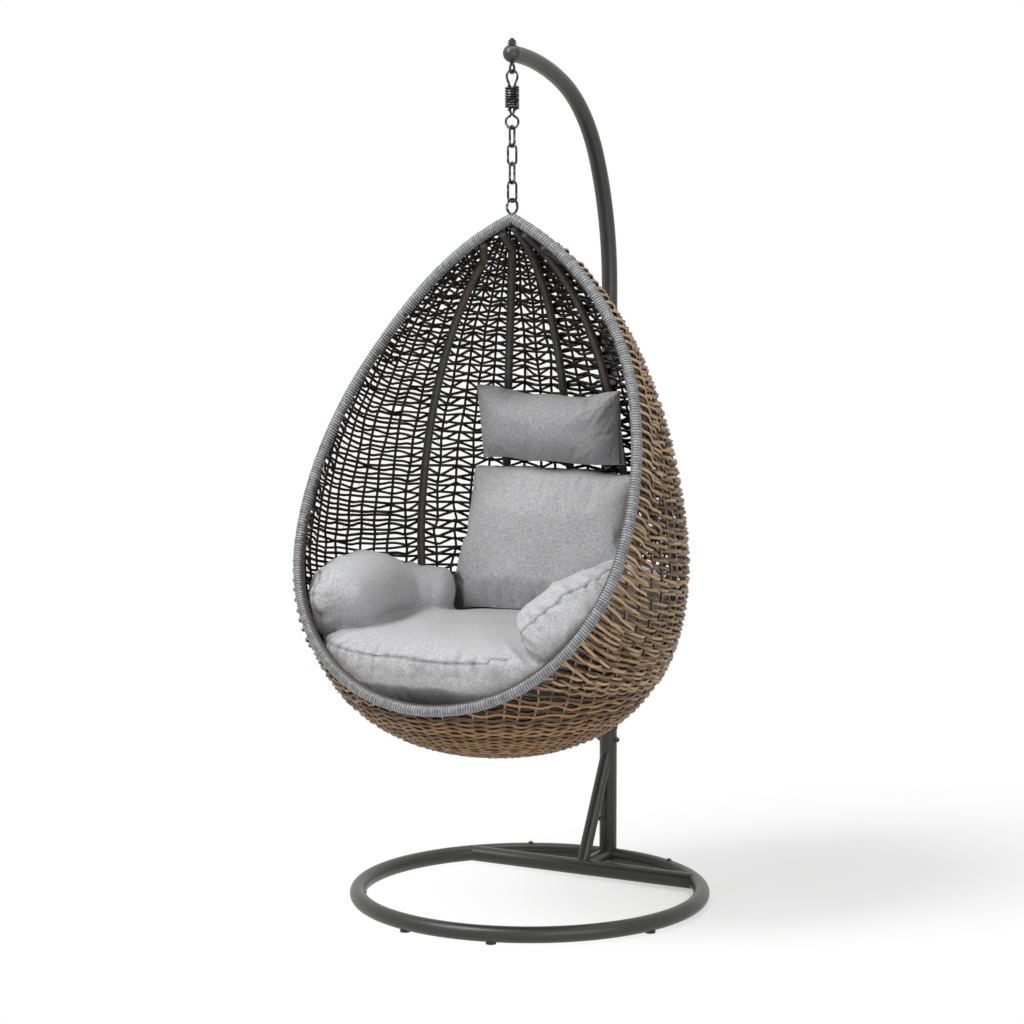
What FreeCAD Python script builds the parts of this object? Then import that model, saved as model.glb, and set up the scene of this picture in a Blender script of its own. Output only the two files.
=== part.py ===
import FreeCAD, Part
import math
import os

# Hanging egg chair: a tubular stand with a curved arm, a drawbar spring and a short chain,
# and a woven egg-shaped basket with five loose cushions. Millimetres, +Z up, the chair
# faces -Y, and the origin is on the floor under the middle of the whole chair.

os.makedirs("parts", exist_ok=True)
doc = FreeCAD.newDocument("hanging_egg_chair")

SIZES = {
    # Base: a ring of tube on six feet, with a cross bar and a spur inside it
    "foot_height": 4.0,
    "foot_diameter": 24.0,
    "foot_rim_height": 8.0,
    "ring_radius": 405.0,
    "base_tube": 38.0,
    "base_wall": 1.5,
    "ring_seam_angle": 26.0,
    "ring_bolt_angle": 28.0,
    "sleeve_wall": 3.0,
    "sleeve_half_angle": 6.0,
    "cross_bar_angle": 49.0,
    "front_foot_angle": 16.0,
    "side_foot_angle": 71.0,
    "weld_gap": 0.1,
    "slip_gap": 0.2,
    # Post socket, collar, brace and their fasteners
    "post_setback": 456.0,
    "socket_outer": 42.4,
    "socket_height": 340.0,
    "collar_outer": 45.4,
    "collar_height": 8.0,
    "brace_tube": 30.0,
    "brace_wall": 1.5,
    "brace_top_height": 292.0,
    "tie_height": 124.0,
    "tie_bolt": 6.0,
    "tie_nut": 10.0,
    "tie_nut_height": 6.0,
    "plug_height": 90.0,
    "plug_diameter": 8.0,
    "plug_rise": 2.0,
    "socket_bolt": 8.0,
    "socket_bolt_height": 314.0,
    "socket_bolt_head": 16.0,
    "socket_bolt_head_rise": 8.0,
    "ring_bolt": 6.0,
    "ring_bolt_head": 14.0,
    "ring_bolt_head_rise": 4.0,
    "bolt_gap": 0.1,
    # Arm: a straight post, then three tangent bends to the tip over the basket
    "arm_tube": 38.0,
    "arm_wall": 2.0,
    "post_straight_top": 1420.0,
    "arm_bend_low_radius": 750.0,
    "arm_bend_low_angle": 25.0,
    "arm_bend_mid_radius": 380.0,
    "arm_bend_mid_angle": 40.0,
    "arm_bend_tip_radius": 700.0,
    "arm_bend_tip_angle": 20.0,
    # Ball end, eyebolt, washer and nut
    "ball_diameter": 42.0,
    "eye_shank": 10.0,
    "eye_radius": 10.0,
    "eye_wire": 6.0,
    "washer_outer": 24.0,
    "washer_thickness": 2.0,
    "nut_across_flats": 17.0,
    "nut_height": 8.0,
    "shank_rise": 4.0,
    # Drawbar spring: hanger above, coil, drawbar below
    "drawbar_wire": 5.5,
    "hanger_radius": 13.75,
    "hanger_depth": 38.0,
    "hanger_shoulder": 4.0,
    "coil_mean_diameter": 28.6,
    "coil_wire": 4.4,
    "coil_pitch": 5.9,
    "coil_turns": 8.0,
    "hook_radius": 8.0,
    "hook_reach": 3.0,
    "neck_half": 2.95,
    "neck_drop": 12.0,
    "neck_length": 4.5,
    "loop_radius": 16.0,
    # Chain and the ring welded on the basket rim
    "chain_wire": 5.5,
    "link_length": 53.0,
    "link_width": 27.0,
    "chain_gap": 0.5,
    "hang_ring_radius": 17.0,
    "hang_ring_wire": 6.0,
    "hang_ring_turn": 15.0,
    "hang_ring_sink": 4.0,
    # Basket: an egg whose section is an oval at every height, open at the front
    "egg_height": 1219.0,
    "belly_drop": 779.0,
    "belly_half_width": 450.0,
    "belly_half_depth": 413.0,
    "bottom_flatness": 307.0,
    "belly_roundness_low": 256.0,
    "belly_roundness_high": 97.0,
    "shoulder_half_width": 401.0,
    "shoulder_drop": 182.0,
    "belly_forward": 100.0,
    "bottom_forward": 84.0,
    "mouth_lean": 25.9,
    "mouth_arc_radius": 811.0,
    "weave_thickness": 4.0,
    "rim_margin": 1.6,
    "rim_tube": 22.0,
    "rim_wall": 1.5,
    "rim_wrap": 28.0,
    "rib_tube": 16.0,
    "rib_wall": 1.2,
    "rib_wrap": 20.0,
    "wrap_gap": 0.1,
    "rib_inner_angle": 22.0,
    "rib_outer_angle": 50.0,
    "rib_gap": 1.0,
    "rib_end_behind": 6.0,
    "rib_end_below": 19.0,
    "rib_centre_top": 0.0,
    "rib_inner_top": 30.0,
    "rib_outer_top": 78.0,
    "hoop_radius": 110.0,
    "stay_angle": 28.0,
    "fabric_gap": 0.3,
    "cushion_room": 0.6,
    # Cushions
    "seat_half_width": 380.0,
    "seat_seam_drop": 949.0,
    "seat_depth": 218.0,
    "seat_front": 392.0,
    "seat_back": 255.0,
    "seat_crown": 30.0,
    "bolster_half_height": 88.0,
    "bolster_half_width": 84.0,
    "bolster_drop": 866.0,
    "bolster_fall": 36.0,
    "bolster_path_half_width": 342.0,
    "bolster_path_half_depth": 312.0,
    "bolster_front_angle": 131.0,
    "bolster_rear_angle": 44.0,
    "back_half_width_low": 268.0,
    "back_half_width_top": 205.0,
    "back_half_height": 178.0,
    "back_thickness": 132.0,
    "back_drop": 762.0,
    "back_setback": 186.0,
    "back_tilt": -4.0,
    "back_draw_low": 6.0,
    "back_draw_side": 10.0,
    "back_draw_top": 8.0,
    "pillow_half_width": 190.0,
    "pillow_half_height": 90.0,
    "pillow_thickness": 104.0,
    "pillow_drop": 490.0,
    "pillow_setback": 180.0,
    "pillow_tilt": 12.0,
    "pillow_draw_low": 3.0,
    "pillow_draw_side": 7.0,
    "pillow_draw_top": 16.0,
}

sheet = doc.addObject("Spreadsheet::Sheet", "sizes")
for row, (alias, value) in enumerate(SIZES.items(), start=1):
    sheet.set(f"A{row}", alias)
    sheet.set(f"B{row}", str(value))
    sheet.setAlias(f"B{row}", alias)
doc.recompute()

V = FreeCAD.Vector
UP = V(0, 0, 1)
nodes = []


def size(alias):
    """A driving size, read from the sheet."""
    return float(getattr(sheet, alias))


def bound(kind, name, spot=None, turn=None, **sizes):
    """A document object with its sizes, and its place where given, bound to the sheet."""
    thing = doc.addObject(kind, name)
    if turn is not None:
        thing.Placement = FreeCAD.Placement(V(0, 0, 0), turn)
    for prop, formula in sizes.items():
        thing.setExpression(prop, formula)
    for axis, formula in (spot or {}).items():
        thing.setExpression(f"Placement.Base.{axis}", formula)
    return thing


def cut(name, base, tools):
    """The base without the tools."""
    tool = tools[0]
    if len(tools) > 1:
        tool = doc.addObject("Part::MultiFuse", name + "_tools")
        tool.Shapes = tools
    result = doc.addObject("Part::Cut", name)
    result.Base = base
    result.Tool = tool
    return result


def node(thing, label):
    """Names a finished sub-part, which is written to the file of that name."""
    thing.Label = label
    nodes.append(thing)
    return thing


def shaped(name, shape):
    """A sub-part whose shape is worked out below from the sheet."""
    thing = doc.addObject("Part::Feature", name)
    thing.Shape = shape
    thing.Placement = shape.Placement
    return node(thing, name)


def rounded_path(points, closed=False):
    """Straight runs joined by tangent arcs, each as large as its two runs allow."""
    share = 0.45
    count = len(points)
    corners = range(count) if closed else range(1, count - 1)
    edges = []
    first = last = None if closed else points[0]
    for i in corners:
        here = points[i]
        before = points[i - 1] - here
        after = points[(i + 1) % count] - here
        reach = share * min(before.Length, after.Length)
        before.normalize()
        after.normalize()
        turn = math.pi - before.getAngle(after)
        start = here + before * reach
        end = here + after * reach
        inward = before + after
        inward.normalize()
        middle = here + inward * (reach * math.tan(turn / 4))
        if last is not None:
            edges.append(Part.LineSegment(last, start).toShape())
        else:
            first = start
        edges.append(Part.Arc(start, middle, end).toShape())
        last = end
    edges.append(Part.LineSegment(last, first if closed else points[-1]).toShape())
    if closed:
        edges = edges[-1:] + edges[:-1]
    return Part.Wire(edges)


def rod(path, diameter):
    """A round bar along a path."""
    edge = path.OrderedEdges[0]
    start = edge.valueAt(edge.FirstParameter)
    along = edge.tangentAt(edge.FirstParameter)
    circle = Part.Wire(Part.makeCircle(diameter / 2, start, along))
    return path.makePipeShell([circle], True, False)


def pipe(path, outer, inner):
    """A hollow tube along a path."""
    return rod(path, outer).cut(rod(path, inner))


def bar(start, end, diameter):
    """A straight round bar from one point to another."""
    return Part.makeCylinder(diameter / 2, (end - start).Length, start, end - start)


# Heights and places that follow from the sizes

ring_z = size("foot_height") + size("base_tube") / 2
post_y = size("post_setback")
ring_y = post_y - size("ring_radius")

ARM_BENDS = ("low", "mid", "tip")
arm_angle = 0.0
arm_end = V(0, post_y, size("post_straight_top"))
arm_arcs = []
for bend in ARM_BENDS:
    radius = size(f"arm_bend_{bend}_radius")
    sweep = math.radians(size(f"arm_bend_{bend}_angle"))
    centre = arm_end + V(0, -math.cos(arm_angle), -math.sin(arm_angle)) * radius
    points = [arm_end]
    for share in (0.5, 1.0):
        angle = arm_angle + share * sweep
        points.append(centre + V(0, math.cos(angle), math.sin(angle)) * radius)
    arm_arcs.append(Part.Arc(*points).toShape())
    arm_angle += sweep
    arm_end = points[-1]
tip = arm_end
hang_y = tip.y

eye_drop = size("eye_radius") + size("eye_wire") / 2
eye_z = tip.z - size("ball_diameter") / 2 - size("slip_gap") - eye_drop
drawbar_r = size("drawbar_wire") / 2
pivot_z = eye_z - size("eye_radius") + size("eye_wire") / 2 + drawbar_r + size("fabric_gap")

coil_r = size("coil_mean_diameter") / 2
coil_top = pivot_z - size("hanger_depth")
coil_bottom = coil_top - size("coil_turns") * size("coil_pitch")
neck_z = coil_bottom - size("coil_wire") / 2 - size("neck_drop")
loop_z = neck_z - 2 * size("loop_radius")

chain_r = size("chain_wire") / 2
link_span = size("link_length") - size("chain_wire")
link_tops = [loop_z + drawbar_r + chain_r + size("chain_gap")]
for _ in range(3):
    link_tops.append(link_tops[-1] - link_span + size("chain_wire") + size("chain_gap"))
hang_ring_r = size("hang_ring_wire") / 2
hang_ring_top = link_tops[-1] - link_span + chain_r + hang_ring_r + size("chain_gap")
hang_ring_z = hang_ring_top - size("hang_ring_radius")
rim_wrap_r = size("rim_wrap") / 2
egg_top = hang_ring_z - size("hang_ring_radius") + size("hang_ring_sink") - rim_wrap_r
egg_bottom = egg_top - size("egg_height")
belly_z = egg_top - size("belly_drop")
depth_ratio = size("belly_half_depth") / size("belly_half_width")


# Egg form: two cubic curves for the half width, and an oval section that leans forward

def egg_profile(t):
    """Half width, height and the outward direction, from the bottom (0) to the top (1)."""
    half = size("belly_half_width")
    if t < 0.5:
        s = 2 * t
        pts = ((0, egg_bottom), (size("bottom_flatness"), egg_bottom),
               (half, belly_z - size("belly_roundness_low")), (half, belly_z))
    else:
        s = 2 * t - 1
        pts = ((half, belly_z), (half, belly_z + size("belly_roundness_high")),
               (size("shoulder_half_width"), egg_top - size("shoulder_drop")), (0, egg_top))
    w = ((1 - s) ** 3, 3 * (1 - s) ** 2 * s, 3 * (1 - s) * s ** 2, s ** 3)
    a, z = (sum(w[i] * pts[i][k] for i in range(4)) for k in (0, 1))
    d = ((1 - s) ** 2, 2 * (1 - s) * s, s ** 2)
    da, dz = (sum(d[i] * (pts[i + 1][k] - pts[i][k]) for i in range(3)) for k in (0, 1))
    length = math.hypot(da, dz)
    return a, z, dz / length, -da / length


def egg_centre(z):
    """Where the middle of the section lies at a height: it swings forward at the belly."""
    forward = size("belly_forward")
    if z > belly_z:
        return hang_y - forward * (1 - ((z - belly_z) / (egg_top - belly_z)) ** 2)
    low = (belly_z - z) / (belly_z - egg_bottom)
    return hang_y - forward + (forward - size("bottom_forward")) * low ** 2


def egg_section(t, inset):
    """Half width, height and middle of the oval at one station, drawn in by the inset."""
    a, z, out_a, out_z = egg_profile(t)
    return a - inset * out_a, z - inset * out_z, egg_centre(z)


def egg_point(t, angle, inset):
    """A point of the egg, at an angle from straight back towards +X."""
    a, z, middle = egg_section(t, inset)
    turn = math.radians(angle)
    return V(a * math.sin(turn), middle + depth_ratio * a * math.cos(turn), z)


def mouth_y(z, offset=0.0):
    """Depth of the mouth: an arc under the top, and a straight lean below it."""
    lean = math.radians(size("mouth_lean"))
    radius = size("mouth_arc_radius")
    drop = egg_top - z
    arc_drop = radius * math.sin(lean)
    if drop < arc_drop:
        y = hang_y - radius + math.sqrt(radius ** 2 - drop ** 2)
    else:
        y = hang_y - radius * (1 - math.cos(lean)) - (drop - arc_drop) * math.tan(lean)
    return y + offset


def mouth_angle(t):
    """Angle at which the mouth crosses the egg at one station, or None below the mouth."""
    a, z, middle = egg_section(t, 0.0)
    share = (mouth_y(z) - middle) / (depth_ratio * a)
    return math.degrees(math.acos(share)) if abs(share) < 1 else None


def mouth_bottom():
    """The station where the mouth meets the front of the bowl."""
    low, high = 0.05, 0.5
    for _ in range(40):
        middle = (low + high) / 2
        if mouth_angle(middle) is None:
            low = middle
        else:
            high = middle
    return high


def spaced(points, count, squeeze):
    """Points taken along a dense line, closer together towards its end."""
    lengths = [0.0]
    for a, b in zip(points, points[1:]):
        lengths.append(lengths[-1] + (b - a).Length)
    picked = []
    for k in range(count + 1):
        want = lengths[-1] * (1 - (1 - k / count) ** squeeze)
        i = min(range(len(lengths)), key=lambda j: abs(lengths[j] - want))
        picked.append(points[i])
    return picked


# Base

def ring_tube(name, diameter, start, sweep):
    """A torus sector of the base ring."""
    turn = FreeCAD.Rotation(UP, 0)
    thing = bound("Part::Torus", name, {"y": "sizes.post_setback - sizes.ring_radius",
                                        "z": "sizes.foot_height + sizes.base_tube / 2"},
                  turn, Radius1="sizes.ring_radius", Radius2=f"({diameter}) / 2", Angle3=sweep)
    thing.setExpression("Placement.Rotation.Angle", start)
    return thing


def ring_spot(angle_formula):
    """Where a point of the ring lies, by its angle from the post."""
    return {"x": f"sizes.ring_radius * sin({angle_formula})",
            "y": f"sizes.post_setback - sizes.ring_radius * (1 - cos({angle_formula}))"}


TUBE = "sizes.base_tube"
BORE = "sizes.base_tube - 2 * sizes.base_wall"
bolt_holes = []
for side, sign in (("right", ""), ("left", "-")):
    spot = ring_spot(f"{sign}sizes.ring_bolt_angle * 1 deg")
    spot["z"] = "sizes.foot_height + sizes.base_tube / 2"
    bolt_holes.append(bound("Part::Cylinder", f"bolt_hole_{side}", spot,
                            Radius="sizes.ring_bolt / 2 + sizes.bolt_gap",
                            Height="sizes.base_tube"))

front_start = "(90 + sizes.ring_seam_angle) * 1 deg"
front_sweep = "(360 - 2 * sizes.ring_seam_angle) * 1 deg"
node(cut("base_ring_front", ring_tube("front_outer", TUBE, front_start, front_sweep),
         [ring_tube("front_bore", BORE, front_start, front_sweep)] + bolt_holes),
     "base_ring_front")

rear_start = "(90 - sizes.ring_seam_angle) * 1 deg"
rear_sweep = "2 * sizes.ring_seam_angle * 1 deg"
node(cut("base_ring_rear", ring_tube("rear_outer", TUBE, rear_start, rear_sweep),
         [ring_tube("rear_bore", BORE, rear_start, rear_sweep)]), "base_ring_rear")

sleeves = []
SLEEVE = f"{BORE} - 2 * sizes.slip_gap"
SLEEVE_BORE = f"{SLEEVE} - 2 * sizes.sleeve_wall"
sleeve_sweep = "2 * sizes.sleeve_half_angle * 1 deg"
for side, middle in (("right", "(90 - sizes.ring_seam_angle"), ("left", "(90 + sizes.ring_seam_angle")):
    start = f"{middle} - sizes.sleeve_half_angle) * 1 deg"
    sleeves.append(cut(f"sleeve_{side}",
                       ring_tube(f"sleeve_{side}_outer", SLEEVE, start, sleeve_sweep),
                       [ring_tube(f"sleeve_{side}_bore", SLEEVE_BORE, start, sleeve_sweep)]
                       + bolt_holes))
sleeve_pair = doc.addObject("Part::Compound", "ring_sleeves")
sleeve_pair.Links = sleeves
node(sleeve_pair, "ring_sleeves")

RING_TOP = "sizes.foot_height + sizes.base_tube"
ring_bolts = []
for side, sign in (("right", ""), ("left", "-")):
    spot = ring_spot(f"{sign}sizes.ring_bolt_angle * 1 deg")
    shank_spot = dict(spot, z=f"{RING_TOP} - sizes.base_wall - sizes.slip_gap - sizes.sleeve_wall")
    shank = bound("Part::Cylinder", f"ring_bolt_{side}_shank", shank_spot,
                  Radius="sizes.ring_bolt / 2",
                  Height="sizes.base_wall + sizes.slip_gap + sizes.sleeve_wall + 1")
    head_spot = dict(spot, z=f"{RING_TOP} + sizes.weld_gap")
    head = bound("Part::Cone", f"ring_bolt_{side}_head", head_spot,
                 Radius1="sizes.ring_bolt_head / 2", Radius2="sizes.ring_bolt_head / 4",
                 Height="sizes.ring_bolt_head_rise")
    bolt = doc.addObject("Part::MultiFuse", f"ring_bolt_{side}")
    bolt.Shapes = [shank, head]
    ring_bolts.append(bolt)
bolt_pair = doc.addObject("Part::Compound", "ring_bolts")
bolt_pair.Links = ring_bolts
node(bolt_pair, "ring_bolts")

weld_ring = ring_tube("ring_weld_face", "sizes.base_tube + 2 * sizes.weld_gap", "0 deg", "360 deg")
ALONG_X = FreeCAD.Rotation(V(0, 1, 0), 90)
ALONG_Y = FreeCAD.Rotation(V(1, 0, 0), -90)
BAR_HALF = "sizes.ring_radius * sin(sizes.cross_bar_angle * 1 deg)"
BAR_Y = "sizes.post_setback - sizes.ring_radius * (1 - cos(sizes.cross_bar_angle * 1 deg))"
RING_Z = "sizes.foot_height + sizes.base_tube / 2"
bar_spot = {"x": f"-({BAR_HALF})", "y": BAR_Y, "z": RING_Z}
bar_outer = bound("Part::Cylinder", "bar_outer", bar_spot, ALONG_X,
                  Radius=f"{TUBE} / 2", Height=f"2 * ({BAR_HALF})")
bar_bore = bound("Part::Cylinder", "bar_bore", bar_spot, ALONG_X,
                 Radius=f"({BORE}) / 2", Height=f"2 * ({BAR_HALF})")
bar_weld = bound("Part::Cylinder", "bar_weld_face", bar_spot, ALONG_X,
                 Radius=f"{TUBE} / 2 + sizes.weld_gap", Height=f"2 * ({BAR_HALF})")
node(cut("cross_bar", bar_outer, [bar_bore, weld_ring]), "cross_bar")

spur_spot = {"y": BAR_Y, "z": RING_Z}
SPUR_LENGTH = f"sizes.post_setback - ({BAR_Y})"
spur_outer = bound("Part::Cylinder", "spur_outer", spur_spot, ALONG_Y,
                   Radius=f"{TUBE} / 2", Height=SPUR_LENGTH)
spur_bore = bound("Part::Cylinder", "spur_bore", spur_spot, ALONG_Y,
                  Radius=f"({BORE}) / 2", Height=SPUR_LENGTH)
spur_weld = bound("Part::Cylinder", "spur_weld_face", spur_spot, ALONG_Y,
                  Radius=f"{TUBE} / 2 + sizes.weld_gap", Height=SPUR_LENGTH)
node(cut("spur", spur_outer, [spur_bore, bar_weld, weld_ring]), "spur")

# Post socket, collar and bolt

POST = {"y": "sizes.post_setback"}
SOCKET_BORE = "sizes.arm_tube / 2 + sizes.slip_gap"
socket_outer = bound("Part::Cylinder", "socket_outer", dict(POST, z=RING_Z),
                     Radius="sizes.socket_outer / 2",
                     Height=f"sizes.socket_height - ({RING_Z})")
socket_bore = bound("Part::Cylinder", "socket_bore", dict(POST, z=RING_Z),
                    Radius=SOCKET_BORE, Height="sizes.socket_height")
BOLT_LENGTH = "sizes.socket_outer + 2 * sizes.socket_bolt"
bolt_spot = {"x": f"-({BOLT_LENGTH}) / 2", "y": "sizes.post_setback",
             "z": "sizes.socket_bolt_height"}
cross_hole = bound("Part::Cylinder", "cross_hole", bolt_spot, ALONG_X,
                   Radius="sizes.socket_bolt / 2 + sizes.bolt_gap", Height=BOLT_LENGTH)
node(cut("post_socket", socket_outer, [socket_bore, weld_ring, spur_weld, cross_hole]),
     "post_socket")

collar_spot = dict(POST, z="sizes.socket_height + sizes.weld_gap")
collar_outer = bound("Part::Cylinder", "collar_outer", collar_spot,
                     Radius="sizes.collar_outer / 2", Height="sizes.collar_height")
collar_bore = bound("Part::Cylinder", "collar_bore", collar_spot,
                    Radius=SOCKET_BORE, Height="sizes.collar_height")
node(cut("post_collar", collar_outer, [collar_bore]), "post_collar")

# The bolt runs across the post: shank and dome head on the left, cap nut on the right
HEAD_FACE = "sizes.socket_outer / 2 + sizes.weld_gap"
shank_spot = dict(bolt_spot, x=f"-({HEAD_FACE})")
bolt_shank = bound("Part::Cylinder", "bolt_shank", shank_spot, ALONG_X,
                   Radius="sizes.socket_bolt / 2",
                   Height=f"2 * ({HEAD_FACE}) + sizes.socket_bolt_head_rise / 2")
head_spot = dict(bolt_spot, x=f"-({HEAD_FACE}) - sizes.socket_bolt_head_rise")
bolt_head = bound("Part::Cone", "bolt_head", head_spot, ALONG_X,
                  Radius1="sizes.socket_bolt_head / 4", Radius2="sizes.socket_bolt_head / 2",
                  Height="sizes.socket_bolt_head_rise")
socket_bolt = doc.addObject("Part::MultiFuse", "socket_bolt")
socket_bolt.Shapes = [bolt_shank, bolt_head]
node(socket_bolt, "socket_bolt")

nut_spot = dict(bolt_spot, x=HEAD_FACE)
nut_body = bound("Part::Cone", "cap_nut_body", nut_spot, ALONG_X,
                 Radius1="sizes.socket_bolt_head / 2", Radius2="sizes.socket_bolt_head / 4",
                 Height="sizes.socket_bolt_head_rise")
nut_bore = bound("Part::Cylinder", "cap_nut_bore", nut_spot, ALONG_X,
                 Radius="sizes.socket_bolt / 2 + sizes.bolt_gap / 2",
                 Height="sizes.socket_bolt_head_rise / 2 + sizes.bolt_gap")
node(cut("socket_cap_nut", nut_body, [nut_bore]), "socket_cap_nut")

# Brace from the cross bar to the post, with its tie bolt, tie nut and end plug

bar_y = post_y - size("ring_radius") * (1 - math.cos(math.radians(size("cross_bar_angle"))))
brace_low = V(0, bar_y, ring_z)
brace_high = V(0, post_y, size("brace_top_height"))
brace_way = brace_high - brace_low
weld = size("weld_gap")
socket_r = size("socket_outer") / 2
brace_solid = bar(brace_low, brace_high, size("brace_tube"))
brace_solid = brace_solid.cut(bar(brace_low, brace_high, size("brace_tube") - 2 * size("brace_wall")))
far = V(size("base_tube"), 0, 0)
brace_solid = brace_solid.cut(bar(brace_low - far, brace_low + far, size("base_tube") + 2 * weld))
brace_solid = brace_solid.cut(bar(V(0, post_y, 0), V(0, post_y, size("socket_height")),
                                  size("socket_outer") + 2 * weld))
spur_skin = bar(brace_low, V(0, post_y, ring_z), size("base_tube") + 2 * weld)
shaped("brace", brace_solid.cut(spur_skin))


def brace_middle(z):
    """The point of the brace's axis at a height."""
    return brace_low + brace_way * ((z - brace_low.z) / brace_way.z)


brace_skin = bar(brace_low, brace_high, size("brace_tube") + 2 * weld)
tie_start = brace_middle(size("tie_height"))
tie_end = V(0, post_y - socket_r - weld, size("tie_height"))
shaped("brace_tie_bolt", bar(tie_start, tie_end, size("tie_bolt")).cut(brace_skin))
tie_skin = size("brace_tube") / 2 * brace_way.Length / brace_way.z
tie_middle = (tie_start + V(0, tie_skin, 0) + tie_end) * 0.5
nut_half = V(0, size("tie_nut_height") / 2, 0)
tie_nut = bar(tie_middle - nut_half, tie_middle + nut_half, size("tie_nut"))
shaped("brace_tie_nut", tie_nut.cut(bar(tie_start, tie_end, size("tie_bolt") + size("bolt_gap"))))

plug_start = brace_middle(size("plug_height"))
plug_out = V(0, brace_way.z, -brace_way.y)
plug_out.normalize()
plug_face = size("brace_tube") / 2 + size("plug_rise")
plug = bar(plug_start, plug_start + plug_out * plug_face, size("plug_diameter"))
shaped("brace_plug", plug.cut(brace_skin))

# Feet: rubber pads saddled under the ring

foot_angles = []
for alias, turned in (("ring_bolt_angle", 0), ("side_foot_angle", 180), ("front_foot_angle", 180)):
    foot_angles += [turned + size(alias), turned - size(alias)]
weld_torus = Part.makeTorus(size("ring_radius"), size("base_tube") / 2 + weld, V(0, ring_y, ring_z))
feet = []
for angle in foot_angles:
    turn = math.radians(angle)
    spot = V(size("ring_radius") * math.sin(turn), ring_y + size("ring_radius") * math.cos(turn), 0)
    pad = Part.makeCylinder(size("foot_diameter") / 2, size("foot_rim_height"), spot)
    feet.append(pad.cut(weld_torus))
shaped("feet", Part.makeCompound(feet))

# Arm, ball end and eyebolt

arm_foot = V(0, post_y, ring_z + size("base_tube") / 2 + size("slip_gap"))
arm_path = Part.Wire([Part.LineSegment(arm_foot, V(0, post_y, size("post_straight_top"))).toShape()]
                     + arm_arcs)
arm = pipe(arm_path, size("arm_tube"), size("arm_tube") - 2 * size("arm_wall"))
ball_r = size("ball_diameter") / 2
across = V(size("socket_outer"), 0, 0)
bolt_axis = V(0, post_y, size("socket_bolt_height"))
arm = arm.cut(bar(bolt_axis - across, bolt_axis + across, size("socket_bolt") + 2 * size("bolt_gap")))
shaped("arm_tube", arm.cut(Part.makeSphere(ball_r + weld, tip)))

shank_r = size("eye_shank") / 2
bore = Part.makeCylinder(shank_r + size("bolt_gap"), size("ball_diameter"), tip - UP * ball_r)
shaped("ball_end", Part.makeSphere(ball_r, tip).cut(bore))

seat_rise = math.sqrt(ball_r ** 2 - (shank_r + size("bolt_gap")) ** 2)
washer_spot = tip + UP * (seat_rise + size("weld_gap"))
washer = Part.makeCylinder(size("washer_outer") / 2, size("washer_thickness"), washer_spot)
shank_hole = Part.makeCylinder(shank_r + size("bolt_gap"), size("ball_diameter"), tip)
shaped("eyebolt_washer", washer.cut(shank_hole))

nut_spot = washer_spot + UP * (size("washer_thickness") + size("weld_gap"))
nut_corner = size("nut_across_flats") / math.sqrt(3)
corners = [nut_spot + V(nut_corner * math.cos(math.radians(60 * k)),
                        nut_corner * math.sin(math.radians(60 * k)), 0) for k in range(7)]
nut = Part.Face(Part.makePolygon(corners)).extrude(UP * size("nut_height"))
shaped("eyebolt_nut", nut.cut(shank_hole))

eye_centre = V(0, hang_y, eye_z)
eye = Part.makeTorus(size("eye_radius"), size("eye_wire") / 2, eye_centre, V(1, 0, 0))
shank_top = nut_spot.z + size("nut_height") + size("shank_rise")
shank_low = eye_z + size("eye_radius")
shank = Part.makeCylinder(shank_r, shank_top - shank_low, V(0, hang_y, shank_low))
shaped("eyebolt", eye.fuse(shank).removeSplitter())

# Drawbar spring: the hanger's legs pass down inside the coil and hook under it, the
# drawbar's legs pass up and hook over it, so that a load closes the coil

leg_r = coil_r - size("hook_radius")
hook_r = size("hook_radius")


def coil_leg(angle, z):
    """A point inside the coil, where the wires turn a quarter on their way through."""
    turn = math.radians(angle + 90 * (coil_top - z) / (coil_top - coil_bottom))
    return V(leg_r * math.cos(turn), hang_y + leg_r * math.sin(turn), z)


def hook(direction, z, rise):
    """A wire end that leaves the leg, rounds the coil's end turn and points outwards."""
    out = V(math.cos(math.radians(direction)), math.sin(math.radians(direction)), 0)
    axis = V(0, hang_y, z)
    points = [axis + out * (coil_r + size("hook_reach")) + UP * (rise * hook_r)]
    swing = hook_r / math.cos(math.radians(22.5))
    for turn in (math.radians(67.5), math.radians(22.5)):
        points.append(axis + out * (coil_r - swing * math.cos(turn))
                      + UP * (rise * swing * math.sin(turn)))
    return points


drawbar_gap = size("fabric_gap")
hook_seat = size("coil_wire") / 2 + drawbar_gap - hook_r + drawbar_r
bottom_hook_z = coil_bottom + size("coil_pitch") / 4 - hook_seat
top_hook_z = coil_top - size("coil_pitch") / 4 + hook_seat
inside = [coil_top - share * (coil_top - coil_bottom) for share in (0.14, 0.38, 0.62, 0.86)]

hanger_r = size("hanger_radius")
shoulder_z = pivot_z - hanger_r - size("hanger_shoulder")
octagon = hanger_r * math.tan(math.radians(22.5))
hanger_points = []
for side in (0, 180):
    out = V(math.cos(math.radians(side)), 0, 0)
    over = V(0, hang_y, 0)
    leg = hook(side + 90, bottom_hook_z, -1)
    leg += [coil_leg(side, z) for z in reversed(inside)]
    leg += [over + out * leg_r + UP * (coil_top + size("coil_wire")),
            over + out * hanger_r + UP * shoulder_z,
            over + out * hanger_r + UP * (pivot_z - hanger_r + octagon),
            over + out * octagon + UP * pivot_z]
    hanger_points += leg if side == 0 else leg[::-1]
shaped("spring_hanger", rod(rounded_path(hanger_points), size("drawbar_wire")))

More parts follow.
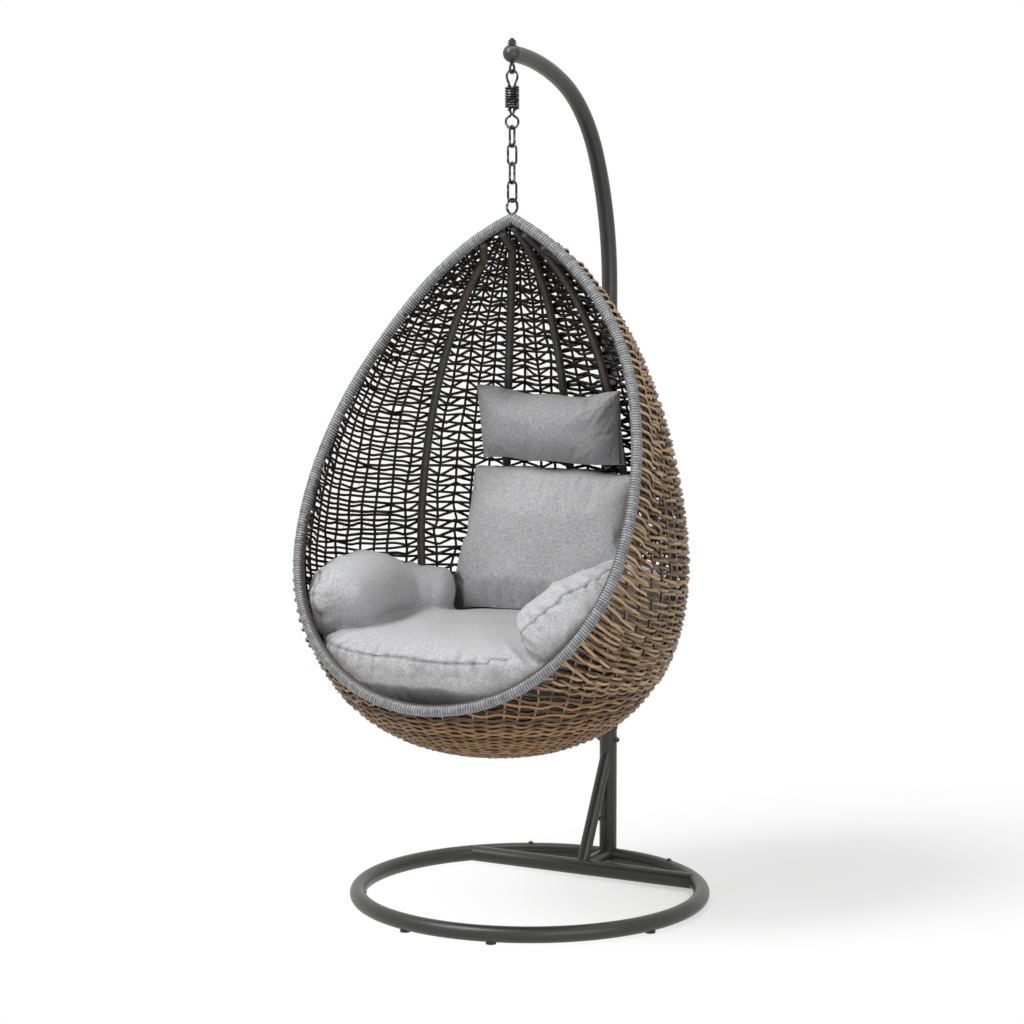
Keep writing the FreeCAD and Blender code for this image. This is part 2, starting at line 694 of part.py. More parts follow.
loop_r = size("loop_radius")
loop_centre = loop_z + loop_r
loop_half = loop_r * math.tan(math.radians(22.5))
drawbar_points = []
for side in (0, 180):
    out = V(math.cos(math.radians(side)), 0, 0)
    over = V(0, hang_y, 0)
    leg = hook(side - 90, top_hook_z, 1)
    leg += [coil_leg(side - 90, z) for z in inside]
    leg += [over + out * leg_r + UP * (coil_bottom - size("coil_wire") / 2),
            over + out * size("neck_half") + UP * (neck_z + size("neck_length") / 2),
            over + out * size("neck_half") + UP * (neck_z - size("neck_length") / 2),
            over + out * loop_r + UP * (loop_centre + loop_half),
            over + out * loop_r + UP * (loop_centre - loop_half),
            over + out * loop_half + UP * loop_z]
    drawbar_points += leg if side == 0 else leg[::-1]
shaped("spring_drawbar", rod(rounded_path(drawbar_points), size("drawbar_wire")))


def coil_point(turns):
    """Point and direction of the coil's helix after a number of turns."""
    angle = 2 * math.pi * turns
    point = V(coil_r * math.cos(angle), hang_y + coil_r * math.sin(angle),
              coil_bottom + size("coil_pitch") * turns)
    along = V(-math.sin(angle), math.cos(angle), size("coil_pitch") / (2 * math.pi * coil_r))
    along.normalize()
    return point, along


def biarc(start, along_start, end, along_end):
    """Two tangent arcs from one point and direction to another."""
    v = end - start
    t = along_start + along_end
    a = 2 * (1 - along_start.dot(along_end))
    b = 2 * v.dot(t)
    reach = (-b + math.sqrt(b * b + 4 * a * v.dot(v))) / (2 * a)
    first = start + along_start * reach
    second = end - along_end * reach
    joint = (first + second) * 0.5
    arcs = []
    for p, corner, q in ((start, first, joint), (joint, second, end)):
        back = p - corner
        on = q - corner
        back.normalize()
        on.normalize()
        turn = math.pi - back.getAngle(on)
        inward = back + on
        inward.normalize()
        arcs.append(Part.Arc(p, corner + inward * (reach * math.tan(turn / 4)), q).toShape())
    return arcs


quarters = int(round(4 * size("coil_turns")))
coil_start, along = coil_point(0)
coil_edges = [Part.LineSegment(coil_start - along * size("coil_wire"), coil_start).toShape()]
for quarter in range(quarters):
    coil_edges += biarc(*coil_point(quarter / 4), *coil_point((quarter + 1) / 4))
coil_end, along = coil_point(size("coil_turns"))
coil_edges.append(Part.LineSegment(coil_end, coil_end + along * size("coil_wire")).toShape())
coil_path = Part.Wire(coil_edges)
shaped("spring_coil", rod(coil_path, size("coil_wire")))

samples = [coil_point(k / 48)[0] for k in range(48 * int(size("coil_turns")) + 1)]
least = min((samples[i] - samples[j]).Length for i in range(0, len(samples), 7)
            for j in range(i + 24, len(samples)))
print("least gap of the coil to itself", round(least - size("coil_wire"), 2), "mm")

# Chain of four links, and the ring on the basket rim

end_r = (size("link_width") - size("chain_wire")) / 2


def link(top, across):
    """A chain link hanging from its top bend, flat in the plane of the across direction."""
    axis = V(0, hang_y, 0)
    high = top - end_r
    low = top - link_span + end_r
    edges = []
    corners = [axis + across * end_r + UP * low, axis + across * end_r + UP * high]
    edges.append(Part.LineSegment(*corners).toShape())
    for middle, side, rise in ((high, 1, 1), (low, -1, -1)):
        diagonal = (across * side + UP * rise) * (end_r / math.sqrt(2))
        centre = axis + UP * middle
        crown = centre + UP * (rise * end_r)
        other = (UP * rise - across * side) * (end_r / math.sqrt(2))
        edges.append(Part.Arc(centre + across * (side * end_r), centre + diagonal, crown).toShape())
        edges.append(Part.Arc(crown, centre + other, centre - across * (side * end_r)).toShape())
        if side == 1:
            edges.append(Part.LineSegment(axis - across * end_r + UP * high,
                                          axis - across * end_r + UP * low).toShape())
    return rod(Part.Wire(edges), size("chain_wire"))


for number, top in enumerate(link_tops, start=1):
    across = V(0, 1, 0) if number % 2 else V(1, 0, 0)
    shaped(f"chain_link_{number}", link(top, across))

# Basket frame: rim, five ribs, bottom hoop and two front stays

STATIONS = 160
t_mouth = mouth_bottom()
dense = []
for k in range(STATIONS + 1):
    t = t_mouth + (1 - t_mouth) * k / STATIONS
    angle = 180.0 if k == 0 else (mouth_angle(t) if k < STATIONS else 90.0)
    dense.append(egg_point(t, angle if angle is not None else 180.0, 0.0))
RIM_RUNS = 17
RIM_SQUEEZE = 1.35
right_side = spaced(dense, RIM_RUNS, RIM_SQUEEZE)
left_side = [V(-p.x, p.y, p.z) for p in right_side[1:-1]]
rim_path = rounded_path(right_side + left_side[::-1], closed=True)
rim_bore = size("rim_tube") - 2 * size("rim_wall")
wrap_bore = size("rim_tube") + 2 * size("wrap_gap")
shaped("rim_tube", pipe(rim_path, size("rim_tube"), rim_bore))
shaped("rim_wrap", pipe(rim_path, size("rim_wrap"), wrap_bore))
rim_skin = rod(rim_path, size("rim_wrap") + 2 * size("weld_gap"))

ring_turn = math.radians(size("hang_ring_turn"))
ring_axis = V(math.cos(ring_turn), -math.sin(ring_turn), 0)
hang_ring = Part.makeTorus(size("hang_ring_radius"), hang_ring_r, V(0, hang_y, hang_ring_z), ring_axis)
shaped("hanging_ring", hang_ring.cut(rim_skin))

rib_r = size("rib_wrap") / 2
rib_inset = size("weave_thickness") / 2 + size("rib_gap") + rib_r
hoop_t = 0.0
while egg_section(hoop_t, rib_inset)[0] < size("hoop_radius") + rib_r:
    hoop_t += 0.001
hoop_z = egg_section(hoop_t, rib_inset)[1]
hoop_centre = V(0, egg_centre(hoop_z), hoop_z)
hoop_path_r = size("hoop_radius")
hoop = Part.makeTorus(hoop_path_r, size("rib_tube") / 2, hoop_centre)
shaped("bottom_hoop", hoop.cut(Part.makeTorus(hoop_path_r, size("rib_tube") / 2 - size("rib_wall"),
                                              hoop_centre)))
hoop_skin = Part.makeTorus(hoop_path_r, size("rib_tube") / 2 + size("wrap_gap"), hoop_centre)

RIB_RUNS = 13
RIB_TOPS = {"centre": 0.972, "inner": 0.95, "outer": 0.93}
ribs = [("centre", 0.0)]
for side, sign in (("right", 1), ("left", -1)):
    ribs.append((f"inner_{side}", sign * size("rib_inner_angle")))
    ribs.append((f"outer_{side}", sign * size("rib_outer_angle")))


def hoop_spot(angle):
    """Where a rib or stay meets the middle of the hoop's tube."""
    turn = math.radians(angle)
    return hoop_centre + V(math.sin(turn), math.cos(turn), 0) * hoop_path_r


def egg_route(angle, low, high, runs):
    """Points up the inside of the egg at one angle, evenly spaced."""
    line = [egg_point(low + (high - low) * k / STATIONS, angle, rib_inset)
            for k in range(STATIONS + 1)]
    return spaced(line, runs, 1.0)


def rim_spot(kind, sign):
    """Where a rib ends low behind the rim's top, at its own distance from the middle."""
    upper = dense[len(dense) // 2:]
    spot = min(upper, key=lambda p: abs(p.x - size(f"rib_{kind}_top")))
    return V(sign * spot.x, spot.y + size("rib_end_behind"), spot.z - size("rib_end_below"))


for name, angle in ribs:
    kind = name.split("_")[0]
    route = [hoop_spot(angle)] + egg_route(angle, hoop_t + 0.04, RIB_TOPS[kind], RIB_RUNS)
    path = rounded_path(route + [rim_spot(kind, math.copysign(1, angle))])
    tube = pipe(path, size("rib_tube"), size("rib_tube") - 2 * size("rib_wall"))
    wrap = pipe(path, size("rib_wrap"), size("rib_tube") + 2 * size("wrap_gap"))
    shaped(f"rib_{name}", tube.cut(hoop_skin).cut(rim_skin))
    shaped(f"rib_wrap_{name}", wrap.cut(hoop_skin).cut(rim_skin))

for side, sign in (("right", 1), ("left", -1)):
    angle = 180 - sign * size("stay_angle")
    route = [hoop_spot(angle)] + egg_route(angle, hoop_t + 0.04, t_mouth + 0.01, 4)
    stay = pipe(rounded_path(route), size("rib_tube"), size("rib_tube") - 2 * size("rib_wall"))
    shaped(f"front_stay_{side}", stay.cut(hoop_skin).cut(rim_skin))

# Woven shell: a thin egg between two ovals at every station, cut away in front of the mouth

SHELL_STATIONS = (0.04, 0.09, 0.16, 0.24, 0.34, 0.44, 0.54, 0.64, 0.73, 0.81, 0.88, 0.94, 0.995)


def oval(t, inset):
    """The section's outline as an ellipse."""
    a, z, middle = egg_section(t, inset)
    ellipse = Part.Ellipse(V(0, middle, z), a, depth_ratio * a)
    return Part.Wire(ellipse.toShape())


def egg_solid(inset):
    """A closed egg, drawn in by the inset, with small flats at its two ends."""
    return Part.makeLoft([oval(t, inset) for t in SHELL_STATIONS], True, False)


def mouth_cutter(offset):
    """Everything in front of the mouth, moved back by the offset to clear the rim."""
    lean = math.radians(size("mouth_lean"))
    bend_z = egg_top - size("mouth_arc_radius") * math.sin(lean)
    half_z = egg_top - size("mouth_arc_radius") * math.sin(lean / 2)
    front_y = hang_y - 2 * size("belly_half_depth")
    low_z = egg_bottom - size("rim_wrap")
    high_z = egg_top + size("rim_wrap")
    low, bend, half, top = (V(0, mouth_y(z, offset), z) for z in (low_z, bend_z, half_z, egg_top))
    high = V(0, top.y, high_z)
    edges = [Part.LineSegment(low, bend).toShape(), Part.Arc(bend, half, top).toShape(),
             Part.LineSegment(top, high).toShape(),
             Part.LineSegment(high, V(0, front_y, high_z)).toShape(),
             Part.LineSegment(V(0, front_y, high_z), V(0, front_y, low_z)).toShape(),
             Part.LineSegment(V(0, front_y, low_z), low).toShape()]
    face = Part.Face(Part.Wire(edges))
    width = 2 * size("belly_half_width")
    face.translate(V(-width / 2 - size("rim_wrap"), 0, 0))
    return face.extrude(V(width + 2 * size("rim_wrap"), 0, 0))


half_weave = size("weave_thickness") / 2
shell = egg_solid(-half_weave).cut(egg_solid(half_weave))
shell = shell.cut(mouth_cutter(rim_wrap_r + size("rim_margin"))).cut(hoop_skin)
shaped("wicker_shell", shell)

# Cushions: lofts through outlines of four arcs each, crowned in the middle and drawn in
# at the sides, each settled against what carries it


def outline(corners, sides):
    """Four arcs from corner to corner, each through the middle of its side."""
    edges = [Part.Arc(corners[k], sides[k], corners[(k + 1) % 4]).toShape() for k in range(4)]
    return Part.Wire(edges)


SETTLE_STEPS = 14
SETTLE_SLACK = 1.1
START_AWAY = 30.0


def settle(shape, supports, way):
    """Moves a cushion along a direction until it lies a fabric gap from its supports."""
    gap = size("fabric_gap")
    reach = shape.BoundBox
    reach.enlarge(2 * START_AWAY)
    carrier = Part.makeCompound([face for support in supports for face in support.Faces
                                 if reach.intersect(face.BoundBox) and face.BoundBox.XMax > 0])
    for _ in range(SETTLE_STEPS):
        distance = shape.distToShape(carrier)[0]
        if distance <= gap * SETTLE_SLACK:
            break
        shape.translate(way * (distance - gap))
    return shape


# Through the thickness of a stuffed panel: depth, then the spread of corners and of sides
PANEL_HALF = ((1, 0.30, 0.42), (0.86, 0.62, 0.74), (0.48, 0.86, 0.94))
PANEL_FORM = [(-d, c, e) for d, c, e in PANEL_HALF] + [(0, 1, 1)] + list(PANEL_HALF[::-1])


def pillow(kind, half_low, half_top):
    """A stuffed panel standing in XZ: its edge is the full outline, its faces are crowned."""
    half_height = size(f"{kind}_half_height")
    thickness = size(f"{kind}_thickness")
    draw = [size(f"{kind}_draw_{edge}") for edge in ("low", "side", "top")]
    wires = []
    for depth, corner, side in PANEL_FORM:
        y = depth * thickness / 2
        corners = [V(-half_low * corner, y, -half_height * corner),
                   V(half_low * corner, y, -half_height * corner),
                   V(half_top * corner, y, half_height * corner),
                   V(-half_top * corner, y, half_height * corner)]
        waist = (half_low + half_top) / 2 * side
        sides = [V(0, y, -(half_height - draw[0]) * side), V(waist - draw[1], y, 0),
                 V(0, y, (half_height - draw[2]) * side), V(draw[1] - waist, y, 0)]
        wires.append(outline(corners, sides))
    return Part.makeLoft(wires, True, False)


seam_z = egg_top - size("seat_seam_drop")
seat_middle = hang_y + (size("seat_back") - size("seat_front")) / 2
seat_half_depth = (size("seat_back") + size("seat_front")) / 2
LOW_TURNS = (78, 62, 47, 33, 20, 9)
CROWN_TURNS = (0, 26, 46, 63, 78)
LOW_FULLNESS = 1.3
CROWN_FULLNESS = 0.8


def seat_form(grow):
    """The seat: crowned above its seam, deep below it, and larger all round by a clearance."""
    wires = []
    for turn in [-angle for angle in LOW_TURNS] + list(CROWN_TURNS):
        low = turn < 0
        height, full = ("seat_depth", LOW_FULLNESS) if low else ("seat_crown", CROWN_FULLNESS)
        z = seam_z + (size(height) + grow) * math.sin(math.radians(turn))
        scale = math.cos(math.radians(turn)) ** full
        a = (size("seat_half_width") + grow) * scale
        b = (seat_half_depth + grow) * scale
        k = math.sqrt(0.5)
        corners = [V(a * x, seat_middle + b * y, z)
                   for x, y in ((-k, -k), (k, -k), (k, k), (-k, k))]
        sides = [V(0, seat_middle - b, z), V(a, seat_middle, z), V(0, seat_middle + b, z),
                 V(-a, seat_middle, z)]
        wires.append(outline(corners, sides))
    return Part.makeLoft(wires, True, True)


# Along an arm pad: how far, then the share of its full section
BOLSTER_FORM = ((0, 0.45), (0.05, 0.80), (0.18, 1.0), (0.45, 0.97), (0.72, 0.84), (0.93, 0.62),
                (1, 0.32))
BOLSTER_CORNER = 0.74


def bolster():
    """The right arm pad along the wall of the bowl, lower and thinner towards the back."""
    z = egg_top - size("bolster_drop")
    middle = V(0, egg_centre(z), z)
    front, rear = size("bolster_front_angle"), size("bolster_rear_angle")
    wires = []
    for share, scale in BOLSTER_FORM:
        turn = math.radians(front + (rear - front) * share)
        out = V(math.sin(turn), math.cos(turn), 0)
        spot = middle + V(size("bolster_path_half_width") * math.sin(turn),
                          size("bolster_path_half_depth") * math.cos(turn),
                          -size("bolster_fall") * share)
        w = out * (size("bolster_half_width") * scale)
        h = UP * (size("bolster_half_height") * scale)
        corners = [spot + (w * x + h * y) * BOLSTER_CORNER
                   for x, y in ((-1, -1), (1, -1), (1, 1), (-1, 1))]
        wires.append(outline(corners, [spot - h, spot + w, spot + h, spot - w]))
    return Part.makeLoft(wires, True, False)


by_name = {thing.Label: thing.Shape for thing in nodes}
rib_wraps = [by_name[f"rib_wrap_{name}"] for name, _ in ribs]
stays = [by_name["front_stay_right"], by_name["front_stay_left"]]
BACK = V(0, 1, 0)

seat = seat_form(0)
seat.translate(UP * START_AWAY)
seat = settle(seat, rib_wraps + stays + [by_name["bottom_hoop"]], V(0, 0, -1))
shaped("seat_cushion", seat)
seat_room = seat_form(size("cushion_room"))
seat_room.translate(UP * (seat.BoundBox.ZMax + size("cushion_room") - seat_room.BoundBox.ZMax))
arm_pad = bolster().cut(seat_room)
shaped("arm_cushion_right", arm_pad)
shaped("arm_cushion_left", arm_pad.mirror(V(0, 0, 0), V(1, 0, 0)))

back = pillow("back", size("back_half_width_low"), size("back_half_width_top"))
back.rotate(V(0, 0, 0), V(1, 0, 0), size("back_tilt"))
back.translate(V(0, hang_y + size("back_setback") - START_AWAY, egg_top - size("back_drop")))
shaped("back_cushion", settle(back, rib_wraps, BACK).cut(seat_room))

head = pillow("pillow", size("pillow_half_width"), size("pillow_half_width"))
head.rotate(V(0, 0, 0), V(1, 0, 0), size("pillow_tilt"))
head.translate(V(0, hang_y + size("pillow_setback") - START_AWAY, egg_top - size("pillow_drop")))
shaped("head_pillow", settle(head, rib_wraps, BACK))

# Every sub-part is checked before anything is written

doc.recompute()
for thing in doc.Objects:
    if "Invalid" in thing.State or "Error" in thing.State:
        raise SystemExit(f"{thing.Label} failed to build")
for thing in nodes:
    if thing.Shape.isNull() or not thing.Shape.isValid() or not thing.Shape.Solids:
        raise SystemExit(f"{thing.Label} is not a valid solid")
for thing in nodes:
    thing.Shape.exportStep(f"parts/{thing.Label}.step")
print("pivot", round(pivot_z, 3), "loop", round(loop_z, 3), "hang_y", round(hang_y, 3),
      "egg top", round(egg_top, 2), "seam", round(seam_z, 2))
print(len(nodes), "sub-parts written")
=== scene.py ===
"""Hanging egg chair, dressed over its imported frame.

Metres, +Z up. The chair faces -Y, and the origin is on the floor under the middle of it.
"""
import logging
import math
from dataclasses import dataclass
from enum import Enum

import bpy
import numpy as np
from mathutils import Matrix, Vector


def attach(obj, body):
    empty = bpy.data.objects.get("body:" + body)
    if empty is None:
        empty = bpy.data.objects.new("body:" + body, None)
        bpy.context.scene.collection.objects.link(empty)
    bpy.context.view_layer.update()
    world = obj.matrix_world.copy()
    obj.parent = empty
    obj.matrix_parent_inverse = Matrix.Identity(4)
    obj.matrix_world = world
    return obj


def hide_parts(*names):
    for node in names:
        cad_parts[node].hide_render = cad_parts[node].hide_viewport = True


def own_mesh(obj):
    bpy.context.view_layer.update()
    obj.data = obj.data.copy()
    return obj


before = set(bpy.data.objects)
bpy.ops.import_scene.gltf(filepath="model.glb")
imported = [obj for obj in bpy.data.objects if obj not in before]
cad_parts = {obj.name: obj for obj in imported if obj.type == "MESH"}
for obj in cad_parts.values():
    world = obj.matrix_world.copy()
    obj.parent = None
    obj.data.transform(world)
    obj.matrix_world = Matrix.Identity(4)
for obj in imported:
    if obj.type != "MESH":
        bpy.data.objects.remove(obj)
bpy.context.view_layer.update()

log = logging.getLogger("egg_chair")

Array = np.ndarray
Colour = tuple[float, float, float, float]
Knots = tuple[tuple[float, ...], ...]
Material = bpy.types.Material
Piece = bpy.types.Object
Socket = bpy.types.NodeSocket
SHADER = "Principled BSDF"
HANG_Y = -0.032895  # the line that the basket hangs on
FINE_BUMP = 0.0004  # metres


# ---- small helpers


def linear(hex_colour: str) -> Colour:
    """Turn an sRGB hex colour into linear light.

    Args:
        hex_colour: Six hex digits, with or without a leading hash.

    Returns:
        Red, green, blue and an alpha of one.
    """
    digits = hex_colour.lstrip("#")
    parts = [int(digits[i:i + 2], 16) / 255 for i in (0, 2, 4)]
    lit = [p / 12.92 if p <= 0.04045 else ((p + 0.055) / 1.055) ** 2.4 for p in parts]
    return (lit[0], lit[1], lit[2], 1.0)


def unit(rows: Array) -> Array:
    """Vectors divided by their lengths."""
    return rows / np.maximum(np.linalg.norm(rows, axis=-1, keepdims=True), 1e-12)


def smooth_step(values: Array | float, low: float, high: float) -> Array:
    """Rise from 0 at low to 1 at high, with level ends: three s squared less two s cubed."""
    s = np.clip((values - low) / (high - low), 0.0, 1.0)
    return s * s * (3 - 2 * s)


def bell(values: Array, width: float) -> Array:
    """A bell curve, 1 at zero and one over e at the width."""
    return np.exp(-(values / width) ** 2)


def run_of(line: Array) -> Array:
    """Length along a line up to each of its points."""
    return np.concatenate([[0], np.cumsum(np.linalg.norm(np.diff(line, axis=0), axis=1))])


def spread(line: Array, count: int, endpoint: bool = True) -> Array:
    """Evenly spaced points along a line, with or without its end."""
    run = run_of(line)
    at = np.linspace(0, run[-1], count, endpoint=endpoint)
    return np.stack([np.interp(at, run, line[:, k]) for k in range(3)], -1)


def smoothed(line: Array, times: int) -> Array:
    """A line whose inner points are averaged with their neighbours, over and over."""
    for _ in range(times):
        line[1:-1] = (line[:-2] + 2 * line[1:-1] + line[2:]) / 4
    return line


def middle_and_half(points: Array) -> tuple[Array, Array]:
    """Middle and half size of the box round some points."""
    low, high = points.min(0), points.max(0)
    return (low + high) / 2, (high - low) / 2


def read(piece: Piece, what: str = "co") -> Array:
    """A piece's points, or the vertex normals where what is normal."""
    rows = np.zeros(len(piece.data.vertices) * 3, np.float32)
    piece.data.vertices.foreach_get(what, rows)
    return rows.reshape(-1, 3).astype(float)


def write(piece: Piece, points: Array) -> None:
    """Put moved points back."""
    piece.data.vertices.foreach_set("co", points.astype(np.float32).ravel())
    piece.data.update()


def mark(piece: Piece, label: str, values: Array) -> None:
    """Store one number for each point, for the materials to read."""
    piece.data.attributes.new(label, "FLOAT", "POINT").data.foreach_set(
        "value", values.astype(np.float32))


def ring_faces(rows: int, sides: int, closed: bool = False) -> Array:
    """Four-cornered faces that join each ring of points to the next."""
    i, j = np.arange(rows if closed else rows - 1)[:, None], np.arange(sides)[None]
    here, there, beside = i * sides, (i + 1) % rows * sides, (j + 1) % sides
    return np.stack([here + j, here + beside, there + beside, there + j], -1).reshape(-1, 4)


def mesh_object(name: str, points: Array, faces: list[Array]) -> Piece:
    """Make a smooth mesh object from arrays.

    Args:
        name: The piece's name.
        points: One row of X, Y, Z for each vertex.
        faces: Arrays of faces, each with its own number of corners.

    Returns:
        The object, linked to the scene.
    """
    mesh = bpy.data.meshes.new(name)
    mesh.vertices.add(len(points))
    mesh.vertices.foreach_set("co", points.astype(np.float32).ravel())
    loops = np.concatenate([f.ravel() for f in faces])
    corners = np.concatenate([np.full(len(f), f.shape[1]) for f in faces])
    mesh.loops.add(len(loops))
    mesh.loops.foreach_set("vertex_index", loops.astype(np.int32))
    mesh.polygons.add(len(corners))
    starts = np.concatenate([[0], np.cumsum(corners)[:-1]])
    mesh.polygons.foreach_set("loop_start", starts.astype(np.int32))
    mesh.polygons.foreach_set("use_smooth", np.ones(len(corners), bool))
    mesh.update(calc_edges=True)
    mesh.validate()
    made = bpy.data.objects.new(name, mesh)
    bpy.context.scene.collection.objects.link(made)
    return made


def dress(piece: Piece, material: Material, slot: str, body: str, *nodes: str) -> Piece:
    """Give a piece its material and its body, and hide the nodes it stands for."""
    piece.data.materials.clear()
    piece.data.materials.append(material)
    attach(piece, body)
    if nodes:
        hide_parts(*nodes)
    log.info("%s: %d faces", piece.name, len(piece.data.polygons))
    return piece


@dataclass
class Tubes:
    """Collects swept tubes, then makes one mesh object of them."""

    sides: int = 6

    def __post_init__(self) -> None:
        """Start with no tubes."""
        self.rows: dict[str, list[Array]] = {
            key: [] for key in ("points", "quads", "caps", "tone", "inner", "uv")}
        self.count = 0

    def sweep(self, path: Array, out: Array, radius: Array | float, tone: Array | float,
              closed: bool = False, relief: Array | float = 0.0, faced: bool = True) -> None:
        """Carry a circle along a path.

        The circle's centre is the path's point. Its first axis is the outward direction made
        square to the path's tangent, and its second is the tangent crossed with the first.

        Args:
            path: Centre points, one row each.
            out: The outward direction, one for all points or one for each.
            radius: One radius, or one for each point.
            tone: Lightness from 0 to 1: one number, or one for each point of the surface.
            closed: Whether the path's end joins its start.
            relief: What is added to the radius, one row for each point of the path.
            faced: Whether the side away from the outward direction counts as the inner side, which
                the strand material darkens as painted shade.
        """
        n, k = len(path), self.sides
        tangent = unit(np.roll(path, -1, 0) - np.roll(path, 1, 0) if closed
                       else np.gradient(path, axis=0))
        first = unit(out - (out * tangent).sum(1, keepdims=True) * tangent)[:, None]
        second = np.cross(tangent, first[:, 0])[:, None]
        turn = np.linspace(0, 2 * np.pi, k, endpoint=False)
        ring = np.cos(turn)[:, None] * first + np.sin(turn)[:, None] * second
        size = np.broadcast_to(np.asarray(radius, float).reshape(-1, 1), (n, k)) + relief
        uv = np.broadcast_arrays(run_of(path)[:, None], turn[None] / (2 * np.pi))
        new = {"points": (path[:, None] + size[..., None] * ring).reshape(-1, 3),
               "quads": ring_faces(n, k, closed) + self.count,
               "tone": np.broadcast_to(tone, (n, k)).ravel(),
               # The inner value marks the side that the strand material darkens as painted shade.
               "inner": np.tile((0.5 - 0.5 * np.cos(turn)) * faced, n),
               "uv": np.stack(uv, -1).reshape(-1, 2)}
        if not closed:
            rim = np.arange(k)
            new["caps"] = np.stack([rim[::-1], (n - 1) * k + rim]) + self.count
        for key, rows in new.items():
            self.rows[key].append(rows)
        self.count += n * k

    def plain(self, name: str) -> Piece:
        """Make the mesh object alone, with nothing on it for a material to read."""
        return mesh_object(name, np.concatenate(self.rows["points"]),
                           [np.concatenate(self.rows[key]) for key in ("quads", "caps")
                            if self.rows[key]])

    def build(self, name: str) -> Piece:
        """Make the mesh object, with its tone and inner attributes and its UV map."""
        made = self.plain(name)
        for label in ("tone", "inner"):
            mark(made, label, np.concatenate(self.rows[label]))
        mesh = made.data
        corners = np.zeros(len(mesh.loops), np.int32)
        mesh.loops.foreach_get("vertex_index", corners)
        uv = np.concatenate(self.rows["uv"])[corners].astype(np.float32)
        mesh.uv_layers.new(name="strand").data.foreach_set("uv", uv.ravel())
        return made


# ---- finishes


@dataclass
class Recipe:
    """The node tree of a new material or world, with short ways to add to it."""

    owner: bpy.types.ID

    def __post_init__(self) -> None:
        """Switch the owner to nodes."""
        self.owner.use_nodes = True
        self.tree = self.owner.node_tree

    def feed(self, node: bpy.types.Node, inputs: dict) -> None:
        """Set each input, or link it where its value is an output."""
        for socket, value in inputs.items():
            if isinstance(value, Socket):
                self.tree.links.new(value, node.inputs[socket])
            else:
                node.inputs[socket].default_value = value

    def add(self, kind: str, output: str, inputs: dict | None = None, **settings: object) -> Socket:
        """Add a node with its settings, and set or link its inputs.

        Args:
            kind: Blender's name of the node type.
            output: Name of the output that is wanted.
            inputs: Socket name or number to a value, or to the output that feeds it.
            **settings: Properties of the node.

        Returns:
            The wanted output.
        """
        node = self.tree.nodes.new(kind)
        for name, value in settings.items():
            setattr(node, name, value)
        self.feed(node, inputs or {})
        return node.outputs[output]

    def finish(self, name: str, inputs: dict) -> bpy.types.ID:
        """Feed the tree's last node, and give the material or world."""
        self.feed(self.tree.nodes[name], inputs)
        return self.owner

    def place(self) -> Socket:
        """The position on the object."""
        return self.add("ShaderNodeTexCoord", "Object")

    def value(self, name: str) -> Socket:
        """A number that is stored on the mesh."""
        return self.add("ShaderNodeAttribute", "Fac", attribute_name=name)

    def noise(self, vector: Socket, scale: float, detail: float) -> Socket:
        """Cloudy noise."""
        return self.add("ShaderNodeTexNoise", "Fac",
                        {"Vector": vector, "Scale": scale, "Detail": detail})

    def stretched(self, vector: Socket, scale: tuple[float, float, float], detail: float) -> Socket:
        """Noise with its own scale on each axis."""
        way = self.add("ShaderNodeMapping", "Vector", {"Vector": vector, "Scale": scale})
        return self.noise(way, 1.0, detail)

    def span(self, value: Socket, low: float, high: float, to_low: float = 0.0,
             to_high: float = 1.0, **settings: object) -> Socket:
        """Map one range onto another."""
        return self.add("ShaderNodeMapRange", "Result", {
            "Value": value, "From Min": low, "From Max": high, "To Min": to_low,
            "To Max": to_high}, **settings)

    def mix(self, share: Socket, first: Socket | Colour, second: Socket | Colour) -> Socket:
        """Blend two colours."""
        return self.add("ShaderNodeMix", "Result", {"Factor": share, "A": first, "B": second},
                        data_type="RGBA")

    def both(self, operation: str, first: Socket, second: Socket) -> Socket:
        """Combine two numbers."""
        return self.add("ShaderNodeMath", "Value", {0: first, 1: second}, operation=operation)

    def bump(self, height: Socket, strength: float, distance: float = FINE_BUMP) -> Socket:
        """A normal that is tilted by a height."""
        return self.add("ShaderNodeBump", "Normal", {
            "Height": height, "Strength": strength, "Distance": distance})

    def seen(self) -> Socket:
        """One where the camera looks, straight or in gloss, and nought for other light."""
        return self.both("MAXIMUM", self.add("ShaderNodeLightPath", "Is Camera Ray"),
                         self.add("ShaderNodeLightPath", "Is Glossy Ray"))


@dataclass(frozen=True)
class PowderCoat:
    """Powder-coated steel tube: a satin skin of fine orange peel over a dark colour."""

    name: str = "charcoal powder coat"
    colour: str = "#2d2e29"
    roughness: float = 0.36
    peel_mm: float = 5.0
    shade: str = "#252621"

    def material(self) -> Material:
        """Build the material: peel as a slight bump, and a cloudier sheen in places."""
        recipe = Recipe(bpy.data.materials.new(self.name))
        place = recipe.place()
        cloud = recipe.noise(place, 9.0, 4.0)
        return recipe.finish(SHADER, {
            "Base Color": recipe.mix(cloud, linear(self.shade), linear(self.colour)),
            "Roughness": recipe.span(cloud, 0, 1, self.roughness - 0.06, self.roughness + 0.08),
            "Normal": recipe.bump(recipe.noise(place, 1000 / self.peel_mm, 2.0), 0.12),
            "IOR": 1.5})


